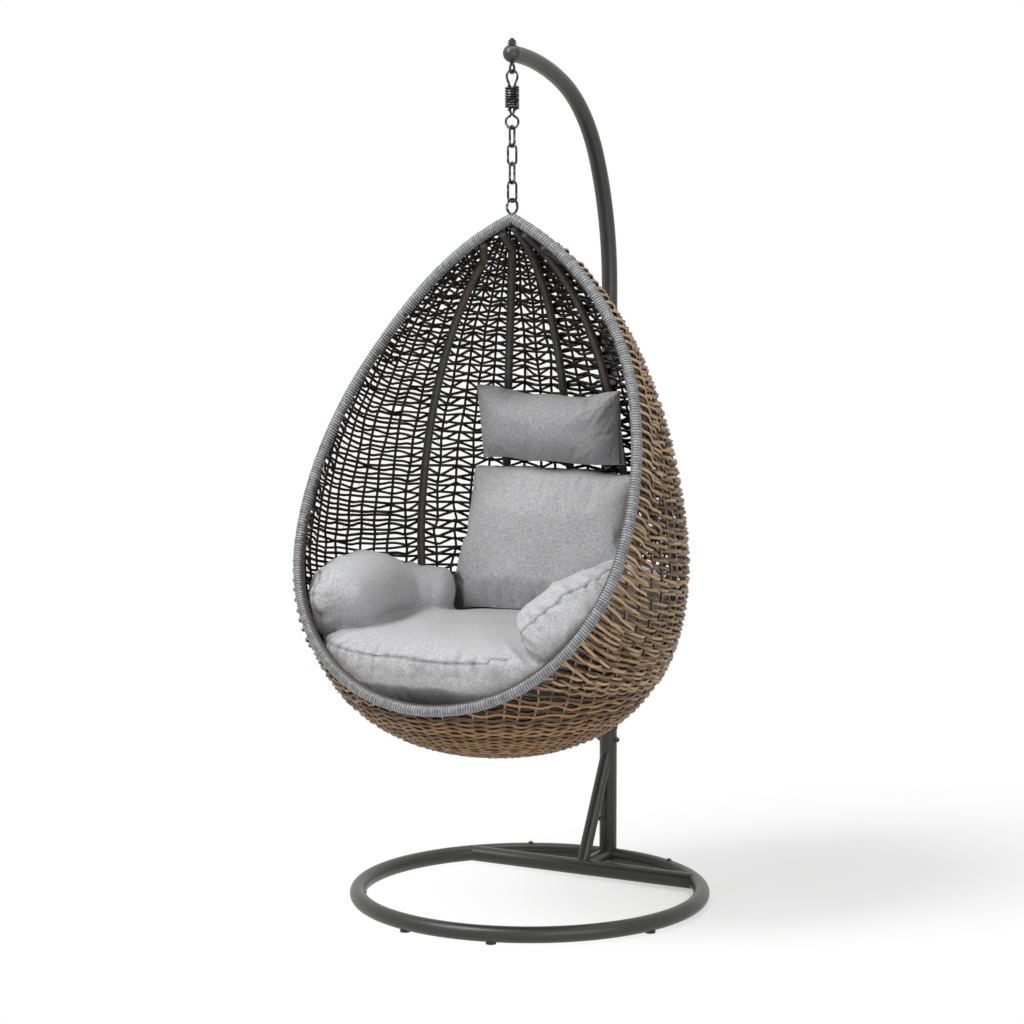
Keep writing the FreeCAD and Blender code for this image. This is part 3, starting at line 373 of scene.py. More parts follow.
@dataclass(frozen=True)
class WornSteel:
    """Dark chain steel: oxide with bright patches where links rub."""

    name: str = "worn dark chain steel"
    dark: str = "#2b2b2b"
    bright: str = "#9a9a98"
    roughness: float = 0.34
    patch_mm: float = 9.0

    def material(self) -> Material:
        """Build the material: patches of bare metal in a dark oxide."""
        recipe = Recipe(bpy.data.materials.new(self.name))
        patch = recipe.noise(recipe.place(), 1000 / self.patch_mm, 5.0)
        bare = recipe.span(patch, 0.5, 0.72)
        return recipe.finish(SHADER, {
            "Base Color": recipe.mix(bare, linear(self.dark), linear(self.bright)),
            "Metallic": 0.85,
            "Roughness": recipe.span(patch, 0, 1, self.roughness + 0.1, self.roughness - 0.08),
            "Normal": recipe.bump(patch, 0.15)})


@dataclass(frozen=True)
class ResinStrand:
    """Extruded polyethylene strand: satin, streaked along its length, with painted shade on the side
    that faces into the egg.
    """

    name: str
    light: str
    dark: str
    # The inside colour is painted shade for the side that faces into the egg.
    inside: str
    roughness: float = 0.42
    gloss: float = 0.5

    def material(self) -> Material:
        """Build the material from the strand's tone, its inner side and its own length; the inner
        side takes the inside colour as painted shade.
        """
        recipe = Recipe(bpy.data.materials.new(self.name))
        along = recipe.add("ShaderNodeUVMap", "UV", uv_map="strand")
        streak = recipe.stretched(along, (60.0, 7.0, 1.0), 4.0)
        share = recipe.span(recipe.both("ADD", streak, recipe.value("tone")), 0.35, 1.45)
        outer = recipe.mix(share, linear(self.dark), linear(self.light))
        # Painted shade: the side that faces into the egg is mixed towards the inside colour.
        facing = recipe.span(recipe.value("inner"), 0.18, 0.54)
        return recipe.finish(SHADER, {
            "Base Color": recipe.mix(facing, outer, linear(self.inside)),
            "Roughness": recipe.span(streak, 0, 1, self.roughness - 0.08, self.roughness + 0.1),
            "Normal": recipe.bump(streak, 0.2), "IOR": 1.5, "Specular IOR Level": self.gloss})


class Strand(Enum):
    """The synthetic strands that the wound and woven pieces are made of."""

    # Each strand's third colour is the painted shade on its side that faces into the egg.
    RIM = ResinStrand("grey flat resin strand", "#95989b", "#212325", "#212325", roughness=0.34)
    RIB = ResinStrand("dark brown resin strand", "#4d4642", "#2a2522", "#2a2522")
    WEAVE = ResinStrand("brown round resin strand", "#b09373", "#271c14", "#15100c", gloss=0.3)
    BOWL = ResinStrand("golden brown resin strand", "#94704a", "#281c13", "#1a130e", gloss=0.35)
    # The lining is a darker copy of the bowl's strand: painted shade on the bowl's inner layer.
    LINING = ResinStrand("brown resin strand in painted shade", "#35281c", "#1f1711", "#15100c", gloss=0.3)


@dataclass(frozen=True)
class Linen:
    """Plain-woven outdoor cloth: slubby grey threads crossing, matt with a soft sheen.

    Real threads lie about 0.8 mm apart, too fine to show, so they are drawn 2.2 mm apart. A
    slub is three times as long as a thread is thick.
    """

    name: str = "grey slub linen"
    light: str = "#c3c3c4"
    dark: str = "#8c8c8e"
    shade: str = "#3f3f41"
    thread_mm: float = 2.2
    slub: float = 3

    def material(self) -> Material:
        """Build the material: two crossing sets of streaks give colour and bump, and the crease
        value mixes in the shade colour as painted shade.
        """
        recipe = Recipe(bpy.data.materials.new(self.name))
        place = recipe.place()
        fine, long = 1000 / self.thread_mm, 1000 / self.thread_mm / self.slub
        woven = recipe.both("ADD", *(recipe.stretched(place, scale, 2.0) for scale in (
            (long, fine, fine), (fine, fine, long))))
        cloth = recipe.mix(recipe.span(woven, 0.65, 1.35), linear(self.dark), linear(self.light))
        return recipe.finish(SHADER, {
            # Painted shade: the crease value darkens the cloth towards the shade colour in seams and
            # pinches.
            "Base Color": recipe.mix(recipe.value("crease"), cloth, linear(self.shade)),
            "Normal": recipe.bump(woven, 0.35, 0.0008),
            "Roughness": 0.92, "Sheen Weight": 0.15, "Sheen Roughness": 0.5})


# ---- the egg's form


@dataclass(frozen=True)
class EggForm:
    """The basket's form: an oval section at every height, leaning forward at the belly."""

    top: float = 1.61039
    height: float = 1.219
    belly_drop: float = 0.779
    half_width: float = 0.450
    half_depth: float = 0.413
    flatness: float = 0.307
    low_round: float = 0.256
    high_round: float = 0.097
    shoulder_half: float = 0.401
    shoulder_drop: float = 0.182
    belly_forward: float = 0.100
    bottom_forward: float = 0.084
    mouth_lean: float = 25.9
    mouth_arc: float = 0.811

    @property
    def bottom(self) -> float:
        """Height of the lowest point."""
        return self.top - self.height

    @property
    def belly(self) -> float:
        """Height of the widest section."""
        return self.top - self.belly_drop

    @property
    def ratio(self) -> float:
        """Depth of a section as a share of its width."""
        return self.half_depth / self.half_width

    def profile(self, t: Array) -> tuple[Array, Array]:
        """Half width and height at stations from 0, the bottom, to 1, the top.

        Two cubic Bezier curves meet at the belly: each point is its four control points
        weighted by the cubes and products of s and one less s.
        """
        t = np.asarray(t, float)
        low = t < 0.5
        s = np.where(low, 2 * t, 2 * t - 1)[..., None]
        belly = (self.half_width, self.belly)
        lower = np.array([(0, self.bottom), (self.flatness, self.bottom),
                          (self.half_width, self.belly - self.low_round), belly])
        upper = np.array([belly, (self.half_width, self.belly + self.high_round),
                          (self.shoulder_half, self.top - self.shoulder_drop), (0, self.top)])
        w = np.concatenate([(1 - s) ** 3, 3 * (1 - s) ** 2 * s, 3 * (1 - s) * s ** 2, s ** 3], -1)
        flat = np.where(low[..., None], w @ lower, w @ upper)
        return flat[..., 0], flat[..., 1]

    def centre(self, z: Array) -> Array:
        """Y of the section's middle at a height: a parabola above the belly and one below."""
        high = HANG_Y - self.belly_forward * (
            1 - ((z - self.belly) / (self.top - self.belly)) ** 2)
        low = HANG_Y - self.belly_forward + (self.belly_forward - self.bottom_forward) * (
            (self.belly - z) / (self.belly - self.bottom)) ** 2
        return np.where(z > self.belly, high, low)

    def skin(self, t: Array, angle: Array) -> Array:
        """Points of the egg.

        X is the half width times the sine of the angle, and Y the middle plus the depth ratio
        times the half width times the cosine, with the angle from straight back towards +X.
        """
        a, z = self.profile(t)
        turn = np.radians(angle)
        return np.stack([a * np.sin(turn), self.centre(z) + self.ratio * a * np.cos(turn), z], -1)

    def point(self, t: Array, angle: Array, outward: Array | float) -> Array:
        """Points of the egg, moved outward along its normal."""
        return self.skin(t, angle) + np.asarray(outward)[..., None] * self.normal(t, angle)

    def normal(self, t: Array, angle: Array) -> Array:
        """Outward normals: the rise along the station crossed with the step round the oval."""
        step = 1e-4
        inside = np.clip(t, 0.004, 0.996)
        rise = self.skin(inside + step, angle) - self.skin(inside - step, angle)
        a, turn = self.profile(inside)[0], np.radians(angle)
        around = np.stack([a * np.cos(turn), -self.ratio * a * np.sin(turn), 0 * a], -1)
        return unit(np.cross(rise, around))

    def hold(self, points: Array, gap: float) -> Array:
        """Draw points that lie too far out back to a level gap inside the egg.

        A point's share of the oval at its height is the root of the squares of its offsets
        over the half axes. Where it is over one less the gap's share, both offsets shrink.
        """
        a, z = self.profile(np.linspace(0, 1, 2001))
        half = np.interp(points[:, 2], z, a)
        middle = self.centre(points[:, 2])
        share = np.hypot(points[:, 0], (points[:, 1] - middle) / self.ratio) / half
        scale = np.minimum(1, (1 - gap / half) / np.maximum(share, 1e-9))
        return np.stack([points[:, 0] * scale, middle + (points[:, 1] - middle) * scale,
                         points[:, 2]], -1)

    def mouth_y(self, z: Array) -> Array:
        """Y of the mouth: an arc below the top, and a straight lean under it."""
        lean = math.radians(self.mouth_lean)
        drop = self.top - z
        arc_drop = self.mouth_arc * math.sin(lean)
        arc = HANG_Y - self.mouth_arc + np.sqrt(np.maximum(self.mouth_arc ** 2 - drop ** 2, 0))
        line = (HANG_Y - self.mouth_arc * (1 - math.cos(lean))
                - (drop - arc_drop) * math.tan(lean))
        return np.where(drop < arc_drop, arc, line)

    def mouth_angle(self, t: Array) -> Array:
        """Angle at which the mouth crosses each station: 180 where it doesn't."""
        a, z = self.profile(t)
        share = (self.mouth_y(z) - self.centre(z)) / np.maximum(self.ratio * a, 1e-9)
        return np.degrees(np.arccos(np.clip(share, -1, 1)))

    def run(self) -> tuple[Array, Array]:
        """Many stations, and the length of the profile up to each."""
        t = np.linspace(0, 1, 4001)
        return t, run_of(np.stack(self.profile(t), -1))

    def stations(self, lengths: Array | float) -> Array:
        """Stations at the given lengths along the profile, measured from the bottom."""
        t, run = self.run()
        return np.interp(lengths, run, t)

    @property
    def length(self) -> float:
        """Length of the profile from the bottom to the top."""
        return float(self.run()[1][-1])

    def rim(self, count: int) -> Array:
        """The mouth's closed line, in evenly spaced points from the bottom up the right side."""
        t = np.linspace(0, 0.5, 20001)
        lowest = t[np.argmax(self.mouth_angle(t) < 180)]
        t = lowest + (0.9995 - lowest) * np.linspace(0, 1, 6000) ** 2
        a, z = self.profile(t)
        right = np.stack([a * np.sin(np.radians(self.mouth_angle(t))), self.mouth_y(z), z], -1)
        right[0, 0] = 0.0
        right = np.vstack([right, [[0.0, HANG_Y, self.top]]])
        line = spread(np.vstack([right, right[::-1] * np.array([-1, 1, 1])]), count, False)
        for _ in range(6):
            line = (np.roll(line, 1, 0) + 2 * line + np.roll(line, -1, 0)) / 4
        return line


# ---- basket frame


@dataclass
class Winding:
    """A strand wound closely round a tube, as low ridges on the tube's skin."""

    egg: EggForm
    radius: float
    ridge: float
    pitch: float
    samples: int
    sides: int

    def phase(self, line: Array) -> Array:
        """Turns of the strand at each point of the skin: it runs helically."""
        return (np.arange(len(line)) / self.samples)[:, None] + (
            np.arange(self.sides) / self.sides)[None]


@dataclass
class WoundRim(Winding):
    """The rim tube, closely wound with a flat grey strand."""

    radius: float = 0.0113
    ridge: float = 0.0020
    pitch: float = 0.0062
    samples: int = 8
    sides: int = 20

    def build(self, material: Material) -> Piece:
        """Wind the rim.

        The radius is raised by the ridge height times the sine over each turn of the strand,
        and each turn is a little higher or lower than the next.
        """
        coarse = self.egg.rim(4000)
        total = np.linalg.norm(coarse - np.roll(coarse, 1, 0), axis=1).sum()
        turns = round(total / self.pitch)
        line = self.egg.rim(turns * self.samples)
        phase = self.phase(line)
        rng = np.random.default_rng(7)
        level = rng.uniform(0.55, 1.0, turns)
        which = np.floor(phase).astype(int) % turns
        round_top = np.abs(np.sin(np.pi * phase))
        # Tone: painted shade in the grooves between turns, times a random lightness for each turn.
        tone = round_top ** 1.5 * (0.55 + 0.45 * rng.random(turns))[which]
        tubes = Tubes(sides=self.sides)
        tubes.sweep(line, line - line.mean(0), self.radius, tone, closed=True,
                    relief=self.ridge * level[which] * round_top, faced=False)
        return dress(tubes.build("rim_winding"), material, "grey_rim_wrap", "basket", "rim_wrap")


@dataclass
class WoundRibs(Winding):
    """Five ribs from the bottom hoop to the rim's top, each wound with a dark strand."""

    radius: float = 0.0094
    ridge: float = 0.0006
    pitch: float = 0.0052
    samples: int = 5
    sides: int = 14
    inset: float = 0.013
    inner_angle: float = 22.0
    outer_angle: float = 50.0
    hoop_radius: float = 0.110
    hoop_gap: float = 0.010
    behind: float = 0.006
    below: float = 0.019

    def route(self, angle: float, top: float, end_x: float) -> Array:
        """A rib's line: up the inside of the egg, then straight to its end behind the rim."""
        foot = np.linspace(0, 0.3, 900)
        low = float(np.interp(self.hoop_radius + self.hoop_gap, self.egg.profile(foot)[0], foot))
        t = np.linspace(low, top, 400)
        up = self.egg.point(t, np.full_like(t, angle), -self.inset)
        rim = self.egg.rim(4000)
        upper = rim[(rim[:, 2] > self.egg.top - 0.2) & (rim[:, 0] >= 0)]
        spot = upper[np.argmin(np.abs(upper[:, 0] - end_x))]
        end = np.array([math.copysign(spot[0], angle) if end_x else 0.0,
                        spot[1] + self.behind, spot[2] - self.below])
        line = np.vstack([up, end[None]])
        count = int(run_of(line)[-1] / self.pitch * self.samples)
        return smoothed(spread(line, count), 30)

    def build(self, material: Material) -> None:
        """Wind each rib, with a helix of low ridges as on the rim."""
        ribs = [("centre", 0.0, 0.972, 0.0)]
        for side, sign in (("right", 1), ("left", -1)):
            ribs.append((f"inner_{side}", sign * self.inner_angle, 0.95, 0.030))
            ribs.append((f"outer_{side}", sign * self.outer_angle, 0.93, 0.078))
        rng = np.random.default_rng(11)
        for name, angle, top, end_x in ribs:
            line = self.route(angle, top, end_x)
            phase = self.phase(line)
            which = np.floor(phase).astype(int)
            round_top = np.sqrt(np.abs(np.sin(np.pi * phase)))
            # Tone: painted shade in the grooves between turns, times a random lightness for each
            # turn.
            tone = round_top * (0.6 + 0.4 * rng.random(which.max() + 1))[which]
            tubes = Tubes(sides=self.sides)
            tubes.sweep(line, np.array([0.0, -1.0, 0.2]), self.radius, tone,
                        relief=self.ridge * round_top, faced=False)
            dress(tubes.build(f"rib_winding_{name}"), material, "dark_rib_wrap", "basket",
                  f"rib_wrap_{name}")


# ---- woven wicker


def ripple(angle: Array, waves: int, phase: Array | float) -> Array:
    """A sine with a whole number of waves round the egg."""
    return np.sin(2 * np.pi * waves * angle / 360 + phase)


@dataclass
class Wicker:
    """The woven body: spokes up the egg, strands twined round them, and a close bowl below."""

    egg: EggForm
    spoke_step: float = 5.5
    spoke_radius: float = 0.0033
    left_radius: float = 0.0035
    right_radius: float = 0.0043
    bowl_radius: float = 0.0043
    bowl_pitch: float = 0.0088
    open_pitch: float = 0.0215
    bowl_end: float = 0.42
    open_start: float = 0.68
    first_row: float = 0.022
    top_margin: float = 0.045
    sample: float = 0.010
    lift: float = 0.10
    lift_reach: float = 0.14
    rib_angles: tuple[float, ...] = (0.0, 22.0, -22.0, 50.0, -50.0)
    whole_turn: float = 179.9
    rib_reach: float = 0.016
    rib_press: float = 0.0012
    bowl_overlap: float = 0.10
    side_by_side: tuple[float, float] = (50.0, 62.0)
    lash_start: float = 0.56
    lash_step: float = 0.0205
    fray_count: int = 60

    def levels(self) -> list[tuple[float, float]]:
        """Lengths up the profile at which rows lie, and each row's pitch.

        The pitch rises smoothly from that of the close bowl to that of the open part.
        """
        rows = [(self.first_row, self.bowl_pitch)]
        while rows[-1][0] < self.egg.length - self.top_margin:
            share = smooth_step(rows[-1][0], self.bowl_end, self.open_start)
            step = self.bowl_pitch + (self.open_pitch - self.bowl_pitch) * share
            rows.append((rows[-1][0] + step, step))
        return rows

    def edge(self, length: float) -> tuple[float, float]:
        """The egg's half width and the mouth's angle at a length up the profile."""
        t = self.egg.stations(length)
        return float(self.egg.profile(t)[0]), float(self.egg.mouth_angle(t))

    def course(self, length: float, side: int) -> tuple[Array, Array]:
        """Angles along one side of a row, and how far it has climbed there towards the rim.

        The climb falls away from the rim as an exponential of the distance left to it.
        """
        rise = smooth_step(length, 0.36, 0.52)
        ease = smooth_step(length, 0.95, 1.35)
        lift = self.lift * rise * (1 - 0.6 * ease)
        half, span = self.edge(length + lift)
        angle = np.linspace(0, span, max(10, int(math.radians(span) * half / self.sample)))
        climb = lift * np.exp(-np.radians(span - angle) * half / self.lift_reach)
        return side * angle, climb * (span < self.whole_turn)

    def clear_of_ribs(self, angle: Array, half_width: float, outward: Array) -> Array:
        """Press a strand outward where it passes over a rib."""
        for rib in self.rib_angles:
            near = bell(np.radians(angle - rib) * half_width, self.rib_reach)
            outward = outward * (1 - near) + self.rib_press * near
        return outward

    def lay(self, tubes: Tubes, length: Array, angle: Array, outward: Array | float,
            radius: Array | float, tone: float, closed: bool = False) -> None:
        """Lay one strand on the egg at lengths up its profile and angles round it."""
        t = self.egg.stations(np.clip(length, 0.012, self.egg.length - 0.014))
        tubes.sweep(self.egg.point(t, angle, outward), self.egg.normal(t, angle), radius, tone,
                    closed=closed)

    def wear(self, tubes: Tubes, name: str, material: Material, *nodes: str) -> None:
        """Make a woven piece of the tubes and dress it."""
        dress(tubes.build(name), material, "brown_wicker", "basket", *nodes)

    def spokes(self, material: Material) -> None:
        """Lay the spokes up the egg, every second one stopping short of the bottom and top."""
        tubes = Tubes(sides=6)
        count = int(round(360 / self.spoke_step))
        rng = np.random.default_rng(3)
        for j in range(count):
            angle = j * 360 / count
            angle = angle - 360 if angle > 180 else angle
            if min(abs(angle - rib) for rib in self.rib_angles) < 1.0:
                continue
            low, margin = (0.10, 0.07) if j % 2 else (0.03, 0.035)
            length = np.arange(low, self.egg.length - margin, 0.014)
            t = self.egg.stations(length)
            kept = self.egg.mouth_angle(t) > abs(angle) - 0.5
            if kept.sum() < 4:
                continue
            drift = np.interp(t, np.linspace(0, 1, 30), rng.normal(0, 0.5, 30))
            self.lay(tubes, length[kept], (angle + drift)[kept], 0.0, self.spoke_radius,
                     rng.uniform(0, 0.5))
        self.wear(tubes, "wicker_spokes", material, "wicker_shell")

    def bowl(self, material: Material, lining: Material) -> None:
        """Weave the close bowl in two layers of wavy strands that lie side by side.

        A strand's rise is a sine of about three spokes' wavelength whose phase drifts slowly
        from row to row, so neighbours nest, and it wanders a little besides. Its outward
        offset changes sign at every spoke.
        """
        rng = np.random.default_rng(5)
        layers = (("wicker_bowl", 0.0, 0.0012, self.bowl_radius, material),
                  ("wicker_bowl_lining", 0.5, -0.0046, self.bowl_radius + 0.0004, lining))
        for name, shift, depth, radius, finish in layers:
            tubes = Tubes(sides=6)
            for k, (length, step) in enumerate(self.levels()):
                if length > self.bowl_end + self.bowl_overlap:
                    break
                right, climb = self.course(length, 1)
                angle = np.concatenate([-right[:0:-1], right])
                climb = np.concatenate([climb[:0:-1], climb])
                whole = right[-1] > self.whole_turn
                if whole:
                    angle, climb = angle[1:], climb[1:]
                half, _ = self.edge(length)
                fade = min(1.0, half / 0.2)
                slow = 0.9 * ripple(angle, 3, 0.21 * k) + 0.7 * ripple(angle, 7, -0.13 * k)
                rise = fade * (0.0033 * ripple(angle, 22, slow + 0.33 * k)
                               + 0.0012 * ripple(angle, 9, 0.5 * k)
                               + 0.0007 * ripple(angle, 31, 2.1 * k))
                wander = np.append(rng.normal(0, 0.0014 * fade, 89), 0.0) * (np.arange(90) > 0)
                rise = rise + np.interp(angle, np.linspace(angle[0], angle[-1], 90), wander)
                outward = self.clear_of_ribs(
                    angle, half, depth + 0.0026 * fade * ripple(angle, 33, np.pi * (k + 0.5)))
                thick = radius * (step / self.bowl_pitch) ** 0.35 * (
                    1 + 0.10 * ripple(angle, 13, 1.7 * k))
                self.lay(tubes, length + climb + shift * step + rise, angle, outward, thick,
                         rng.uniform(0, 1), closed=whole)
            self.wear(tubes, name, finish)

    def open_rows(self, material: Material) -> None:
        """Twine the open rows: strands cross at every spoke, inside and outside by turns.

        In each row one strand keeps near its level. Another zigzags: its rise is a triangle
        wave, low at even spokes and close to the next row at odd ones. On the right the rows
        alternate. Beyond the outer ribs the zigzag shrinks and the strands run side by side.
        Each pattern holds a strand's rise at even spokes and its swing, in pitches, and its
        side of the spokes.
        """
        sides = ((1, "right", self.right_radius, 0.0070,
                  ((-0.04, 0.16, -1), (0.14, 0.62, 1))),
                 (-1, "left", self.left_radius, 0.0054, ((-0.06, -0.06, -1), (0.04, 0.86, 1))))
        for side, name, radius, depth, patterns in sides:
            tubes = Tubes(sides=5)
            rng = np.random.default_rng(9)
            for k, (length, step) in enumerate(self.levels()):
                if length < self.bowl_end + 0.02:
                    continue
                angle, climb = self.course(length, side)
                half, _ = self.edge(length)
                q = angle / self.spoke_step
                wave = 1 - np.abs(np.mod(q + k * (side > 0), 2) - 1)
                near_rim = smooth_step(np.abs(angle), *self.side_by_side)
                knots = np.arange(math.floor(q.min()) - 1, math.ceil(q.max()) + 2)
                for low, swing, way in patterns:
                    wander = np.interp(q, knots, rng.normal(0, 0.0019, len(knots)))
                    outward = self.clear_of_ribs(angle, half, way * depth * np.cos(np.pi * (q + k)))
                    parallel = low + swing / 2 + 0.18 * swing * (wave - 0.5)
                    zigzag = low + swing * wave
                    rise = step * (zigzag + (parallel - zigzag) * near_rim) + wander
                    self.lay(tubes, length + climb + rise, angle, outward,
                             radius * rng.uniform(0.9, 1.12), rng.uniform(0, 1))
            self.wear(tubes, f"wicker_rows_{name}", material)

    def lashings(self, material: Material) -> None:
        """Lash the rows to the rim: stout strands leave it slantwise, in and out of the rows."""
        rng = np.random.default_rng(13)
        for side, name, radius, steep in ((1, "right", 0.0043, 0.85), (-1, "left", 0.0033, 0.6)):
            tubes = Tubes(sides=7)
            for length in np.arange(self.lash_start, self.egg.length - 0.10, self.lash_step):
                half, span = self.edge(length)
                if span > 177:
                    continue
                low = 1 - smooth_step(length, 0.62, 1.05)
                reach = rng.uniform(0.05, 0.10) * min(1.0, half / 0.3) * (1 + 0.2 * low)
                fall = steep * rng.uniform(0.85, 1.1)
                s = np.linspace(0, 1, 22)
                dive = np.cos(2 * np.pi * reach * s / 0.050 + rng.uniform(-0.6, 0.6))
                outward = 0.0048 + 0.0050 * (1 - dive) * (1 - 0.3 * s) - 0.008 * s ** 4
                self.lay(tubes, length - fall * reach * (s - 0.22 * s ** 2),
                         side * (span - np.degrees(reach * s / half)), outward,
                         radius * (1 - 0.2 * s), rng.uniform(0.6, 1))
            self.wear(tubes, f"rim_lashings_{name}", material)

    def frays(self, material: Material) -> None:
        """Let a few thin fibres stand off the strands on the inside of the open part."""
        tubes = Tubes(sides=4)
        rng = np.random.default_rng(17)
        s = np.linspace(0, 1, 7)
        for _ in range(self.fray_count):
            length = rng.uniform(0.75, self.egg.length - 0.2)
            angle = rng.uniform(-1, 0.2) * (self.edge(length)[1] - 4)
            bend = rng.normal(0, 1, 2)
            self.lay(tubes, length + 0.020 * s * bend[0] + 0.006 * s ** 2,
                     angle + 2.6 * s * bend[1], -0.003 - 0.010 * np.sin(2 * s), 0.0006, 1.0)
        self.wear(tubes, "wicker_frays", material)


# ---- suspension


@dataclass
class DrawbarSpring:
    """The visible coil between the hanger's and the drawbar's hooks."""

    bottom: float = 1.860337
    mean_radius: float = 0.0143
    wire: float = 0.0026
    pitch: float = 0.0059
    turns: float = 8.0
    stroke: float = 0.010

    def build(self, material: Material) -> Piece:
        """Wind the coil: a helix whose ends run on a little."""
        q = np.linspace(-0.04, self.turns + 0.04, int(self.turns * 40))
        turn = 2 * np.pi * q
        out = np.stack([np.cos(turn), np.sin(turn), 0 * turn], -1)
        rise = np.stack([0 * q, HANG_Y + 0 * q, self.bottom + self.pitch * q], -1)
        tubes = Tubes(sides=14)
        tubes.sweep(rise + self.mean_radius * out, out, self.wire, 0.5)
        piece = dress(tubes.build("drawbar_coil"), material, "spring_steel", "hanger", "spring_coil")
        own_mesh(piece)
        return piece


# ---- cushions


def lumps(points: Array, seed: int, height: float, length: float) -> Array:
    """Shallow unevenness: six sine waves of random direction and phase, added up."""
    rng = np.random.default_rng(seed)
    ways = unit(rng.normal(0, 1, (6, 3))) * (2 * np.pi / (length * rng.uniform(0.7, 1.5, (6, 1))))
    return height * np.sin(points @ ways.T + rng.uniform(0, 6.28, 6)).sum(1) / 2.4


@dataclass(frozen=True)
class Gathers:
    """Folds that cross a seam, from 0 between them to about 1 on their crests.

    The folds are count in number, from start to end along the seam. Width is a fold's half
    width, in the units of the position along the seam, and reach the least and greatest
    distance that a fold runs from it.
    """

    start: float
    end: float
    count: int
    seed: int
    width: float
    reach: tuple[float, float]

    def __call__(self, along: Array, away: Array) -> Array:
        """Heights of points from their positions along the seam and distances from it."""
        rng = np.random.default_rng(self.seed)
        folds = np.zeros(len(along))
        spots = np.linspace(self.start, self.end, self.count)
        for spot in spots + rng.normal(0, self.width, self.count):
            high, half = rng.uniform(0.35, 1.0), self.width * rng.uniform(0.6, 1.3)
            folds += high * bell(along - spot, half) * np.exp(
                -(np.abs(away) / rng.uniform(*self.reach)) ** 1.6)
        return folds


@dataclass
class Plateau:
    """The highest point of a cushion in each small square of the plan."""

    points: Array
    cell: float = 0.006

    def __post_init__(self) -> None:
        """Sort the points into squares, then let each square reach over its neighbours."""
        self.low = self.points[:, :2].min(0) - 4 * self.cell
        at = self.squares(self.points)
        self.grid = np.full(at.max(0) + 5, -1.0)
        np.maximum.at(self.grid, (at[:, 0], at[:, 1]), self.points[:, 2])
        for axis in (0, 1, 0, 1):
            beside = np.maximum(np.roll(self.grid, 1, axis), np.roll(self.grid, -1, axis))
            self.grid = np.maximum(self.grid, beside)

    def squares(self, points: Array) -> Array:
        """The square that each point lies over."""
        return ((points[:, :2] - self.low) / self.cell).astype(int)

    def lift(self, points: Array, gap: float) -> Array:
        """Raise the points that lie lower than the plateau to a gap above it."""
        at = self.squares(points)
        over = ((at >= 0) & (at < self.grid.shape)).all(1)
        at = np.clip(at, 0, np.array(self.grid.shape) - 1)
        top = np.where(over, self.grid[at[:, 0], at[:, 1]], -1.0)
        raised = points.copy()
        raised[:, 2] = np.where(top > 0, np.maximum(points[:, 2], top + gap), points[:, 2])
        return raised


@dataclass
class Cushion:
    """One stuffed cushion: a cover blown up by cloth simulation, then sewn and creased."""

    node: str
    fill: float
    voxel: float
    start: float
    cap: float
    pressure: float = 4.0
    frames: int = 20
    clear: float = 0.019

    def reshape(self, points: Array) -> Array:
        """Change the plain form before it is remeshed; most cushions keep it."""
        return points

    def form(self) -> Piece:
        """The node's own solid, drawn in a little and reshaped."""
        piece = bpy.data.objects.new(f"{self.node}_cover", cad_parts[self.node].data.copy())
        bpy.context.scene.collection.objects.link(piece)
        piece.data.materials.clear()
        points = read(piece)
        middle, half = middle_and_half(points)
        write(piece, self.reshape(middle + (points - middle) * (1 - self.start / half)))
        return piece

    def blank(self) -> Piece:
        """The form, remeshed evenly."""
        piece = self.form()
        piece.data.remesh_voxel_size = self.voxel
        with bpy.context.temp_override(object=piece, active_object=piece, selected_objects=[piece]):
            bpy.ops.object.voxel_remesh()
        return piece

    def inflate(self, piece: Piece, held: Array, cap: Array | float) -> None:
        """Blow the cover up, holding its seams, and cap how far any point moves.

        Args:
            piece: The remeshed cover.
            held: How firmly each point is held, from 0 to 1.
            cap: The most that a point may move: one number, or one for each point.
        """
        before = read(piece)
        group = piece.vertex_groups.new(name="seam")
        for weight in (0.35, 0.7, 1.0):
            chosen = np.nonzero(held >= weight - 0.2)[0].tolist()
            if chosen:
                group.add(chosen, weight, "REPLACE")
        cloth = piece.modifiers.new("cloth", "CLOTH")
        for name, value in (("quality", 5), ("mass", 0.25), ("tension_stiffness", 12),
                            ("compression_stiffness", 6), ("bending_stiffness", 0.35),
                            ("use_pressure", True), ("uniform_pressure_force", self.pressure),
                            ("shrink_min", -0.035), ("vertex_group_mass", "seam"),
                            ("pin_stiffness", 0.6)):
            setattr(cloth.settings, name, value)
        cloth.settings.effector_weights.gravity = 0
        cloth.collision_settings.use_collision = False
        for step in range(1, self.frames + 1):
            bpy.context.scene.frame_set(step)
        move = read(piece.evaluated_get(bpy.context.evaluated_depsgraph_get())) - before
        piece.modifiers.remove(cloth)
        piece.vertex_groups.remove(group)
        bpy.context.scene.frame_set(1)
        size = np.linalg.norm(move, axis=1)
        share = np.minimum(1, cap / np.maximum(size, 1e-9))
        write(piece, before + move * share[:, None])
        log.info("%s moved %.1f mm at most", self.node, 1000 * float((size * share).max()))

    def refine(self, piece: Piece) -> tuple[Array, Array]:
        """Subdivide the cover once for the seams and folds, and give points and normals."""
        once = piece.modifiers.new("rounded", "SUBSURF")
        once.levels = once.render_levels = 1
        seen = piece.evaluated_get(bpy.context.evaluated_depsgraph_get())
        rounded = bpy.data.meshes.new_from_object(seen)
        piece.modifiers.remove(once)
        piece.data = rounded
        return read(piece), read(piece, "normal")

    def finish(self, piece: Piece, points: Array, crease: Array,
               material: Material) -> None:
        write(piece, EggForm().hold(points, self.clear))
        # The crease values are painted shade, for the seam grooves and pinches.
        mark(piece, "crease", np.clip(crease, 0, 1))
        piece.data.polygons.foreach_set("use_smooth", np.ones(len(piece.data.polygons), bool))
        dress(piece, material, "grey_linen", "basket", self.node)


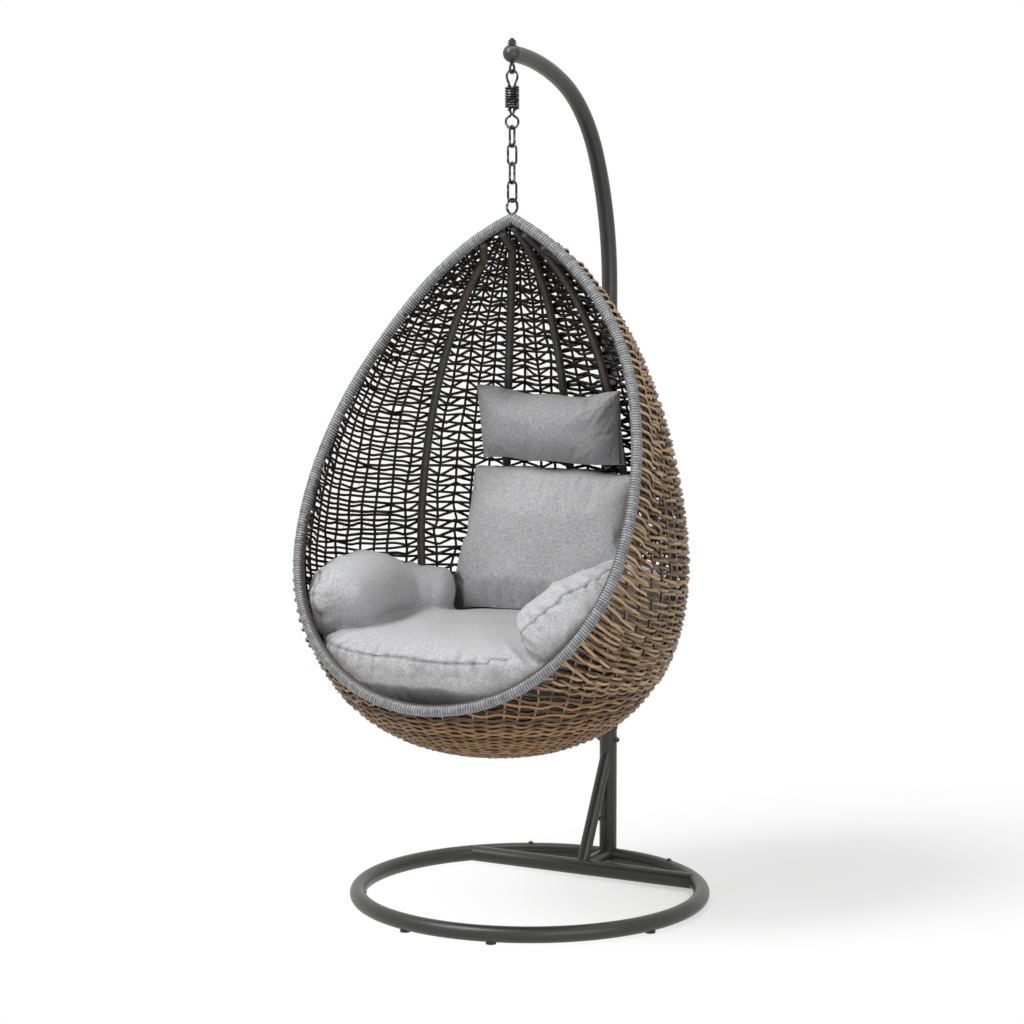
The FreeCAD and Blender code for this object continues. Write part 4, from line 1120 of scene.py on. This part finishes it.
@dataclass
class Nest(Cushion):
    """The seat and the two arm rolls in one cover.

    The rolls run forward along the bowl's wall and down behind the rim into the seat's front.
    Each of their knots is a point of the middle line and the radius there. One seam follows
    the crest of both rolls and the seat's front edge.
    """

    front_swell: float = 0.13
    front_push: float = 0.14
    face_z: float = 0.565
    sag: float = 0.008
    fold_height: float = 0.0085
    pinch_depth: float = 0.0050
    groove_depth: float = 0.0030
    groove_width: float = 0.0034
    right_roll: Knots = (
        (0.222, 0.080, 0.692, 0.054), (0.288, 0.050, 0.705, 0.073), (0.328, -0.03, 0.724, 0.083),
        (0.333, -0.13, 0.754, 0.089), (0.321, -0.215, 0.757, 0.091),
        (0.289, -0.285, 0.740, 0.085), (0.248, -0.330, 0.713, 0.075),
        (0.206, -0.362, 0.686, 0.058))
    left_roll: Knots = (
        (-0.212, 0.072, 0.694, 0.064), (-0.280, 0.042, 0.703, 0.076),
        (-0.330, -0.02, 0.712, 0.082), (-0.338, -0.12, 0.735, 0.086),
        (-0.332, -0.215, 0.738, 0.088), (-0.315, -0.280, 0.724, 0.081),
        (-0.298, -0.318, 0.702, 0.060))
    right_seam: Knots = (
        (0.30, 0.065, 0.770), (0.345, 0.02, 0.790), (0.362, -0.06, 0.810), (0.360, -0.16, 0.838),
        (0.345, -0.235, 0.840), (0.318, -0.300, 0.805), (0.276, -0.345, 0.765),
        (0.225, -0.385, 0.715), (0.170, -0.412, 0.668), (0.10, -0.428, 0.652),
        (0.0, -0.432, 0.650))
    left_seam: Knots = (
        (-0.30, 0.065, 0.765), (-0.345, 0.02, 0.780), (-0.378, -0.06, 0.795),
        (-0.385, -0.16, 0.800), (-0.375, -0.235, 0.800), (-0.350, -0.315, 0.785),
        (-0.340, -0.345, 0.725), (-0.315, -0.372, 0.675), (-0.25, -0.405, 0.660),
        (-0.15, -0.425, 0.652), (0.0, -0.432, 0.650))
    fine_folds: Gathers = Gathers(-0.95, 0.95, 74, 21, 0.0095, (0.02, 0.055))
    long_folds: Gathers = Gathers(-0.8, 0.8, 30, 27, 0.013, (0.04, 0.10))
    arm_folds: Gathers = Gathers(0.38, 0.72, 7, 29, 0.012, (0.03, 0.07))
    pinches: Gathers = Gathers(-0.75, 0.85, 44, 31, 0.0042, (0.012, 0.045))

    def reshape(self, points: Array) -> Array:
        """Fill the bowl's front: swell the plan at its corners, and its face below the seam.

        The corners swell by the square of a double sine of the bearing, and the face by a
        bell curve of the height.
        """
        middle, _ = middle_and_half(points)
        off = points - middle
        around = np.arctan2(off[:, 0], -off[:, 1])
        front = smooth_step(-off[:, 1], 0.0, 0.10)
        face = bell(points[:, 2] - self.face_z, 0.060) * front
        swell = 1 + self.front_swell * np.sin(2 * around) ** 2 * front + self.front_push * face
        return np.stack([middle[0] + off[:, 0] * swell, middle[1] + off[:, 1] * swell,
                         points[:, 2]], -1)

    def curve(self, knots: Knots, count: int) -> Array:
        """A smooth line through knots: each stretch is a cubic with its neighbours' slopes."""
        rows = np.asarray(knots, float)
        slope = np.gradient(rows, axis=0)
        at = np.linspace(0, len(rows) - 1, count)
        i = np.minimum(at.astype(int), len(rows) - 2)
        s = (at - i)[:, None]
        return (rows[i] * (2 * s ** 3 - 3 * s ** 2 + 1) + slope[i] * (s ** 3 - 2 * s ** 2 + s)
                + rows[i + 1] * (3 * s ** 2 - 2 * s ** 3) + slope[i + 1] * (s ** 3 - s ** 2))

    def roll(self, knots: Knots) -> Piece:
        """One arm roll: a round tube along its path whose ends close with a half-round taper."""
        count = 60
        rows = self.curve(knots, count)
        end = np.minimum(np.arange(count), np.arange(count)[::-1]) / 5
        taper = np.sqrt(np.clip(1 - (1 - np.clip(end, 0.02, 1)) ** 2, 0, 1))
        path = rows[:, :3]
        tubes = Tubes(sides=40)
        tubes.sweep(path, np.cross(unit(np.gradient(path, axis=0)), (0.0, 0.0, 1.0)),
                    rows[:, 3] * taper, 0.0)
        return tubes.plain("roll_form")

    def form(self) -> Piece:
        """The seat's solid joined with the two rolls."""
        solid = super().form()
        forms = [solid, self.roll(self.right_roll), self.roll(self.left_roll)]
        with bpy.context.temp_override(object=solid, active_object=solid, selected_objects=forms,
                                       selected_editable_objects=forms):
            bpy.ops.object.join()
        solid.name = "seat_and_arms_cover"
        return solid

    def seam(self, points: Array) -> tuple[Array, Array]:
        """Each point's position along the seam and its distance from it.

        Both are read at the nearest of many points laid along the seam, and the distance
        leaves out what lies along the seam itself. The seam is first drawn onto the cover:
        each of its points goes to the nearest of the cover's, and the line is then smoothed.
        """
        line = np.vstack([self.curve(self.left_seam, 260),
                          self.curve(self.right_seam, 260)[-2::-1]])
        line = smoothed(points[[int(((points - spot) ** 2).sum(1).argmin()) for spot in line]], 8)
        run, tangent = run_of(line), unit(np.gradient(line, axis=0))
        along, away = np.zeros(len(points)), np.full(len(points), 1.0)
        for part in range(0, len(points), 4000):
            gap = points[part:part + 4000, None] - line[None]
            near = (gap ** 2).sum(2).argmin(1)
            rows = gap[np.arange(len(near)), near]
            ahead = (rows * tangent[near]).sum(1)
            along[part:part + 4000] = run[near] + ahead
            away[part:part + 4000] = np.sqrt(np.maximum((rows ** 2).sum(1) - ahead ** 2, 0))
        return along - run[-1] / 2, away

    def build(self, material: Material) -> Plateau:
        """Make the cover, and give its upper surface for what lies on it."""
        piece = self.blank()
        points = read(piece)
        _, away = self.seam(points)
        self.inflate(piece, bell(away, 0.016),
                     np.where(points[:, 2] < 0.60, self.start, self.cap))
        points, out = self.refine(piece)
        along, away = self.seam(points)
        upward = out[:, 2] + 0.6 * out[:, 0] * -np.sign(points[:, 0]) * (np.abs(along) > 0.3)
        signed = np.where(upward > 0.35, away, -away)
        folds = self.fine_folds(along, signed) + 1.6 * self.arm_folds(along, signed)
        folds += (0.6 + 0.9 * bell(along, 0.30)) * self.long_folds(along, signed)
        pinch = self.pinches(along, signed)
        groove = bell(away, self.groove_width)
        dip = bell(np.hypot(points[:, 0] - 0.04, points[:, 1] + 0.06), 0.17)
        top = (out[:, 2] > 0.3) & (points[:, 2] < 0.72)
        points = points + out * (self.fold_height * folds - self.pinch_depth * pinch
                                 - 0.0015 * bell(away, 0.05) - self.groove_depth * groove
                                 + lumps(points, 23, 0.0030, 0.14))[:, None]
        points[:, 2] -= self.sag * dip * top
        # Painted shade in the seam's groove and in the pinches.
        self.finish(piece, points, 0.55 * groove + 0.40 * pinch, material)
        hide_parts(self.node, "arm_cushion_right", "arm_cushion_left")
        return Plateau(points[np.abs(points[:, 0]) < 0.30])


@dataclass
class Panel(Cushion):
    """A stuffed panel with a seam round its edge: the back cushion or the head pillow."""

    crease: float = 0.003
    arch: float = 0.0
    widen: float = 1.0
    deepen: float = 1.0
    groove_depth: float = 0.0040
    groove_width: float = 0.0030
    edge_folds: Gathers = Gathers(-3.1, 3.1, 46, 43, 0.022, (0.015, 0.05))

    def reshape(self, points: Array) -> Array:
        """Round the upper edge's corners off, and spread the form.

        The corners drop by a square and a sixth power of the share across. The width grows by
        one factor, more towards the foot, and the height by another from the upper edge.
        """
        low, high = points.min(0), points.max(0)
        middle, half = middle_and_half(points)
        across = (points[:, 0] - middle[0]) / half[0]
        up = (points[:, 2] - low[2]) / (high[2] - low[2])
        raised = points.copy()
        raised[:, 0] = middle[0] + (points[:, 0] - middle[0]) * (1 + (self.widen - 1) * (2 - up))
        raised[:, 2] = high[2] - (high[2] - points[:, 2]) * self.deepen
        raised[:, 2] -= self.arch * (across ** 2 + across ** 6) / 2 * up ** 2
        return raised

    def build(self, material: Material, seat: Plateau | None = None) -> None:
        """Make the panel, with creases that run in from its corners and along its edge."""
        piece = self.blank()
        points = read(piece)
        middle, half = middle_and_half(points)
        self.inflate(piece, smooth_step(self.edge(points, middle, half), 0.90, 0.98), self.cap)
        points, out = self.refine(piece)
        x, _, z = ((points - middle) / half).T
        tall = half[2] / half[0]
        rng = np.random.default_rng(41)
        folds = np.zeros(len(points))
        for cx, cz in ((-1, -1), (1, -1), (1, 1), (-1, 1)):
            away = np.hypot(x - cx, (z - cz) * tall)
            bearing = np.arctan2((z - cz) * -cz * tall, (x - cx) * -cx)
            for spot in (0.2, 0.45, 0.75, 1.05, 1.3):
                place = spot + rng.normal(0, 0.05)
                folds += rng.uniform(0.4, 1) * bell(bearing - place, 0.07) * bell(away - 0.25, 0.2)
        edge = self.edge(points, middle, half)
        wall = smooth_step(edge, 0.75, 0.95)
        folds += 0.8 * wall * self.edge_folds(np.arctan2(z * half[2], x * half[0]),
                                              (1 - edge) * half[2])
        off = points - middle
        slope = float((off[:, 2] * off[:, 1]).sum() / (off[:, 2] ** 2).sum())
        groove = wall * bell(off[:, 1] - off[:, 2] * slope, self.groove_width)
        points = points + out * (self.crease * folds - self.groove_depth * groove
                                 + lumps(points, 45, 0.0016, 0.13))[:, None]
        if seat is not None:
            points = seat.lift(points, 0.0012)
        # Painted shade in the seam's groove.
        self.finish(piece, points, 0.85 * groove, material)

    def edge(self, points: Array, middle: Array, half: Array) -> Array:
        """How near each point is to the panel's outline, which is 1."""
        share = np.abs(points - middle) / half
        return np.maximum(share[:, 0], share[:, 2])


# ---- stand and studio


@dataclass
class Stand:
    """The painted stand and the small hardware, as the frame gives them."""

    painted: tuple[str, ...] = ("base_ring_front", "base_ring_rear", "cross_bar", "spur",
                                "post_socket", "brace", "arm_tube", "ball_end")
    hardware: tuple[str, ...] = ("ring_bolts", "socket_bolt", "socket_cap_nut", "brace_tie_bolt",
                                 "brace_tie_nut", "eyebolt", "eyebolt_nut", "eyebolt_washer",
                                 "ring_sleeves")
    moulded: tuple[str, ...] = ("post_collar", "brace_plug", "feet")
    brown: tuple[str, ...] = ("rim_tube", "bottom_hoop", "front_stay_right", "front_stay_left",
                              "rib_centre", "rib_inner_right", "rib_outer_right",
                              "rib_inner_left", "rib_outer_left")
    chain: tuple[str, ...] = ("chain_link_1", "chain_link_2", "chain_link_3", "chain_link_4",
                              "hanging_ring", "spring_hanger", "spring_drawbar")

    def dress(self) -> None:
        """Give every node that stays its finish."""
        finishes = (
            (self.painted, PowderCoat().material()),
            (self.hardware, PowderCoat("black fastener coat", "#262626", 0.4, 3.0).material()),
            (self.moulded, PowderCoat("moulded black rubber", "#202020", 0.6, 2.0).material()),
            (self.brown, PowderCoat("brown powder coat", "#3f342c", 0.45, 5.0).material()),
            (self.chain, WornSteel().material()))
        for names, material in finishes:
            for name in names:
                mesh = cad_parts[name].data
                for place in range(len(mesh.materials)):
                    mesh.materials[place] = material
                if not mesh.materials:
                    mesh.materials.append(material)
            log.info("%s on %d nodes", material.name, len(names))


@dataclass
class Studio:
    """Pale floor, soft lamps, and the camera at the photograph's angle."""

    look: tuple[float, float, float] = (0.0, 0.051, 1.004)
    azimuth: float = 28.4
    elevation: float = 7.3
    distance: float = 8.0
    focal_px: float = 3443.0
    image_px: float = 1024.0
    look_px: tuple[float, float] = (529.7, 478.1)
    sensor: float = 36.0
    lamp_aim: tuple[float, float, float] = (0.0, 0.0, 0.95)

    def stand_at(self, data: bpy.types.ID, place: Vector, back: Vector) -> Piece:
        """Put a camera or a lamp at a place, with its back to a direction."""
        made = bpy.data.objects.new(data.name, data)
        made.location = place
        made.rotation_mode = "QUATERNION"
        made.rotation_quaternion = back.to_track_quat("Z", "Y")
        bpy.context.scene.collection.objects.link(made)
        return made

    def camera(self) -> None:
        """Place the camera so that the look point falls on its pixel."""
        az, el = math.radians(self.azimuth), math.radians(self.elevation)
        back = Vector((math.sin(az) * math.cos(el), -math.cos(az) * math.cos(el), math.sin(el)))
        data = bpy.data.cameras.new("camera")
        data.sensor_width = self.sensor
        data.lens = self.focal_px / self.image_px * self.sensor
        data.shift_x = (0.5 * self.image_px - self.look_px[0]) / self.image_px
        data.shift_y = (self.look_px[1] - 0.5 * self.image_px) / self.image_px
        data.clip_end = 100
        place = Vector(self.look) + back * self.distance
        bpy.context.scene.camera = self.stand_at(data, place, back)

    def lamp(self, name: str, place: tuple[float, float, float], size: float, power: float) -> None:
        """Add one large soft lamp that faces the chair."""
        data = bpy.data.lights.new(name, "AREA")
        data.energy = power
        data.size = size
        self.stand_at(data, Vector(place), Vector(place) - Vector(self.lamp_aim))

    def floor(self) -> None:
        """Lay a round pale floor that keeps a faint shadow behind the chair."""
        sides, reach = 96, np.array([0.0001, 1.0, 2.0, 4.0, 30.0])
        turn = np.linspace(0, 2 * np.pi, sides, endpoint=False)
        points = np.stack([reach[:, None] * np.cos(turn), reach[:, None] * np.sin(turn),
                           np.full((len(reach), sides), -0.0005)], -1).reshape(-1, 3)
        piece = mesh_object("floor", points, [ring_faces(len(reach), sides)[:, ::-1]])
        recipe = Recipe(bpy.data.materials.new("white floor"))
        recipe.finish(SHADER, {"Base Color": (0.93, 0.93, 0.93, 1), "Roughness": 0.8,
                               "Specular IOR Level": 0.1})
        # Painted light: to the camera and in gloss the floor glows white, least near a spot behind
        # and right of the chair and more further off, which washes out the lamps' shadow under the
        # chair.
        off = recipe.add("ShaderNodeVectorMath", "Vector", {0: recipe.place(), 1: (0.6, 0.7, 0.0)},
                         operation="SUBTRACT")
        far = recipe.add("ShaderNodeVectorMath", "Value", {0: off}, operation="LENGTH")
        share = recipe.span(far, 0.1, 1.2, 0.25, interpolation_type="SMOOTHSTEP")
        white = recipe.add("ShaderNodeEmission", "Emission",
                           {"Color": (1, 1, 1, 1), "Strength": 1.0})
        mixed = recipe.add("ShaderNodeMixShader", "Shader", {
            0: recipe.both("MULTIPLY", recipe.seen(), share),
            1: recipe.tree.nodes[SHADER].outputs["BSDF"], 2: white})
        piece.data.materials.append(recipe.finish("Material Output", {"Surface": mixed}))

    def world(self) -> None:
        """A white backdrop for the camera and for gloss, and a dimmer fill for the rest."""
        recipe = Recipe(bpy.data.worlds.new("studio"))
        through = recipe.add("ShaderNodeLightPath", "Is Transmission Ray")
        level = recipe.span(recipe.both("MAXIMUM", recipe.seen(), through), 0, 1, 0.42)
        bpy.context.scene.world = recipe.finish("Background", {"Color": (1, 1, 1, 1),
                                                               "Strength": level})

    def build(self) -> None:
        """Set up camera, lamps, floor and world."""
        self.camera()
        self.lamp("key", (-1.6, -2.6, 4.45), 2.0, 178)
        self.lamp("fill", (3.6, -2.4, 2.0), 2.6, 55)
        self.lamp("top", (0.2, 0.3, 4.4), 2.6, 60)
        self.floor()
        self.world()
        bpy.context.scene.view_settings.view_transform = "Standard"


def main() -> None:
    """Build the chair's sub-assemblies in order."""
    logging.basicConfig(level=logging.INFO, format="%(name)s: %(message)s")
    egg = EggForm()
    Studio().build()
    Stand().dress()
    made = {strand: strand.value.material() for strand in Strand}
    WoundRim(egg).build(made[Strand.RIM])
    WoundRibs(egg).build(made[Strand.RIB])
    wicker = Wicker(egg)
    wicker.spokes(made[Strand.WEAVE])
    wicker.bowl(made[Strand.BOWL], made[Strand.LINING])
    wicker.open_rows(made[Strand.WEAVE])
    wicker.lashings(made[Strand.WEAVE])
    wicker.frays(made[Strand.WEAVE])
    DrawbarSpring().build(WornSteel("dark spring steel", "#232323", "#7a7a78", 0.3).material())
    cloth = Linen().material()
    nest = Nest("seat_cushion", 0.75, 0.0092, 0.008, 0.007).build(cloth)
    Panel("back_cushion", 0.7, 0.0066, 0.004, 0.018, crease=0.0022, arch=0.038, widen=1.06,
          deepen=1.10).build(cloth, nest)
    # The pillow's cloth is a darker copy of the linen: painted shade on the pillow.
    shaded = Linen("grey slub linen in painted shade", "#acacad", "#7c7c7e").material()
    Panel("head_pillow", 0.7, 0.005, 0.001, 0.021, crease=0.0013, deepen=1.02).build(shaded)


if __name__ == "__main__":
    main()
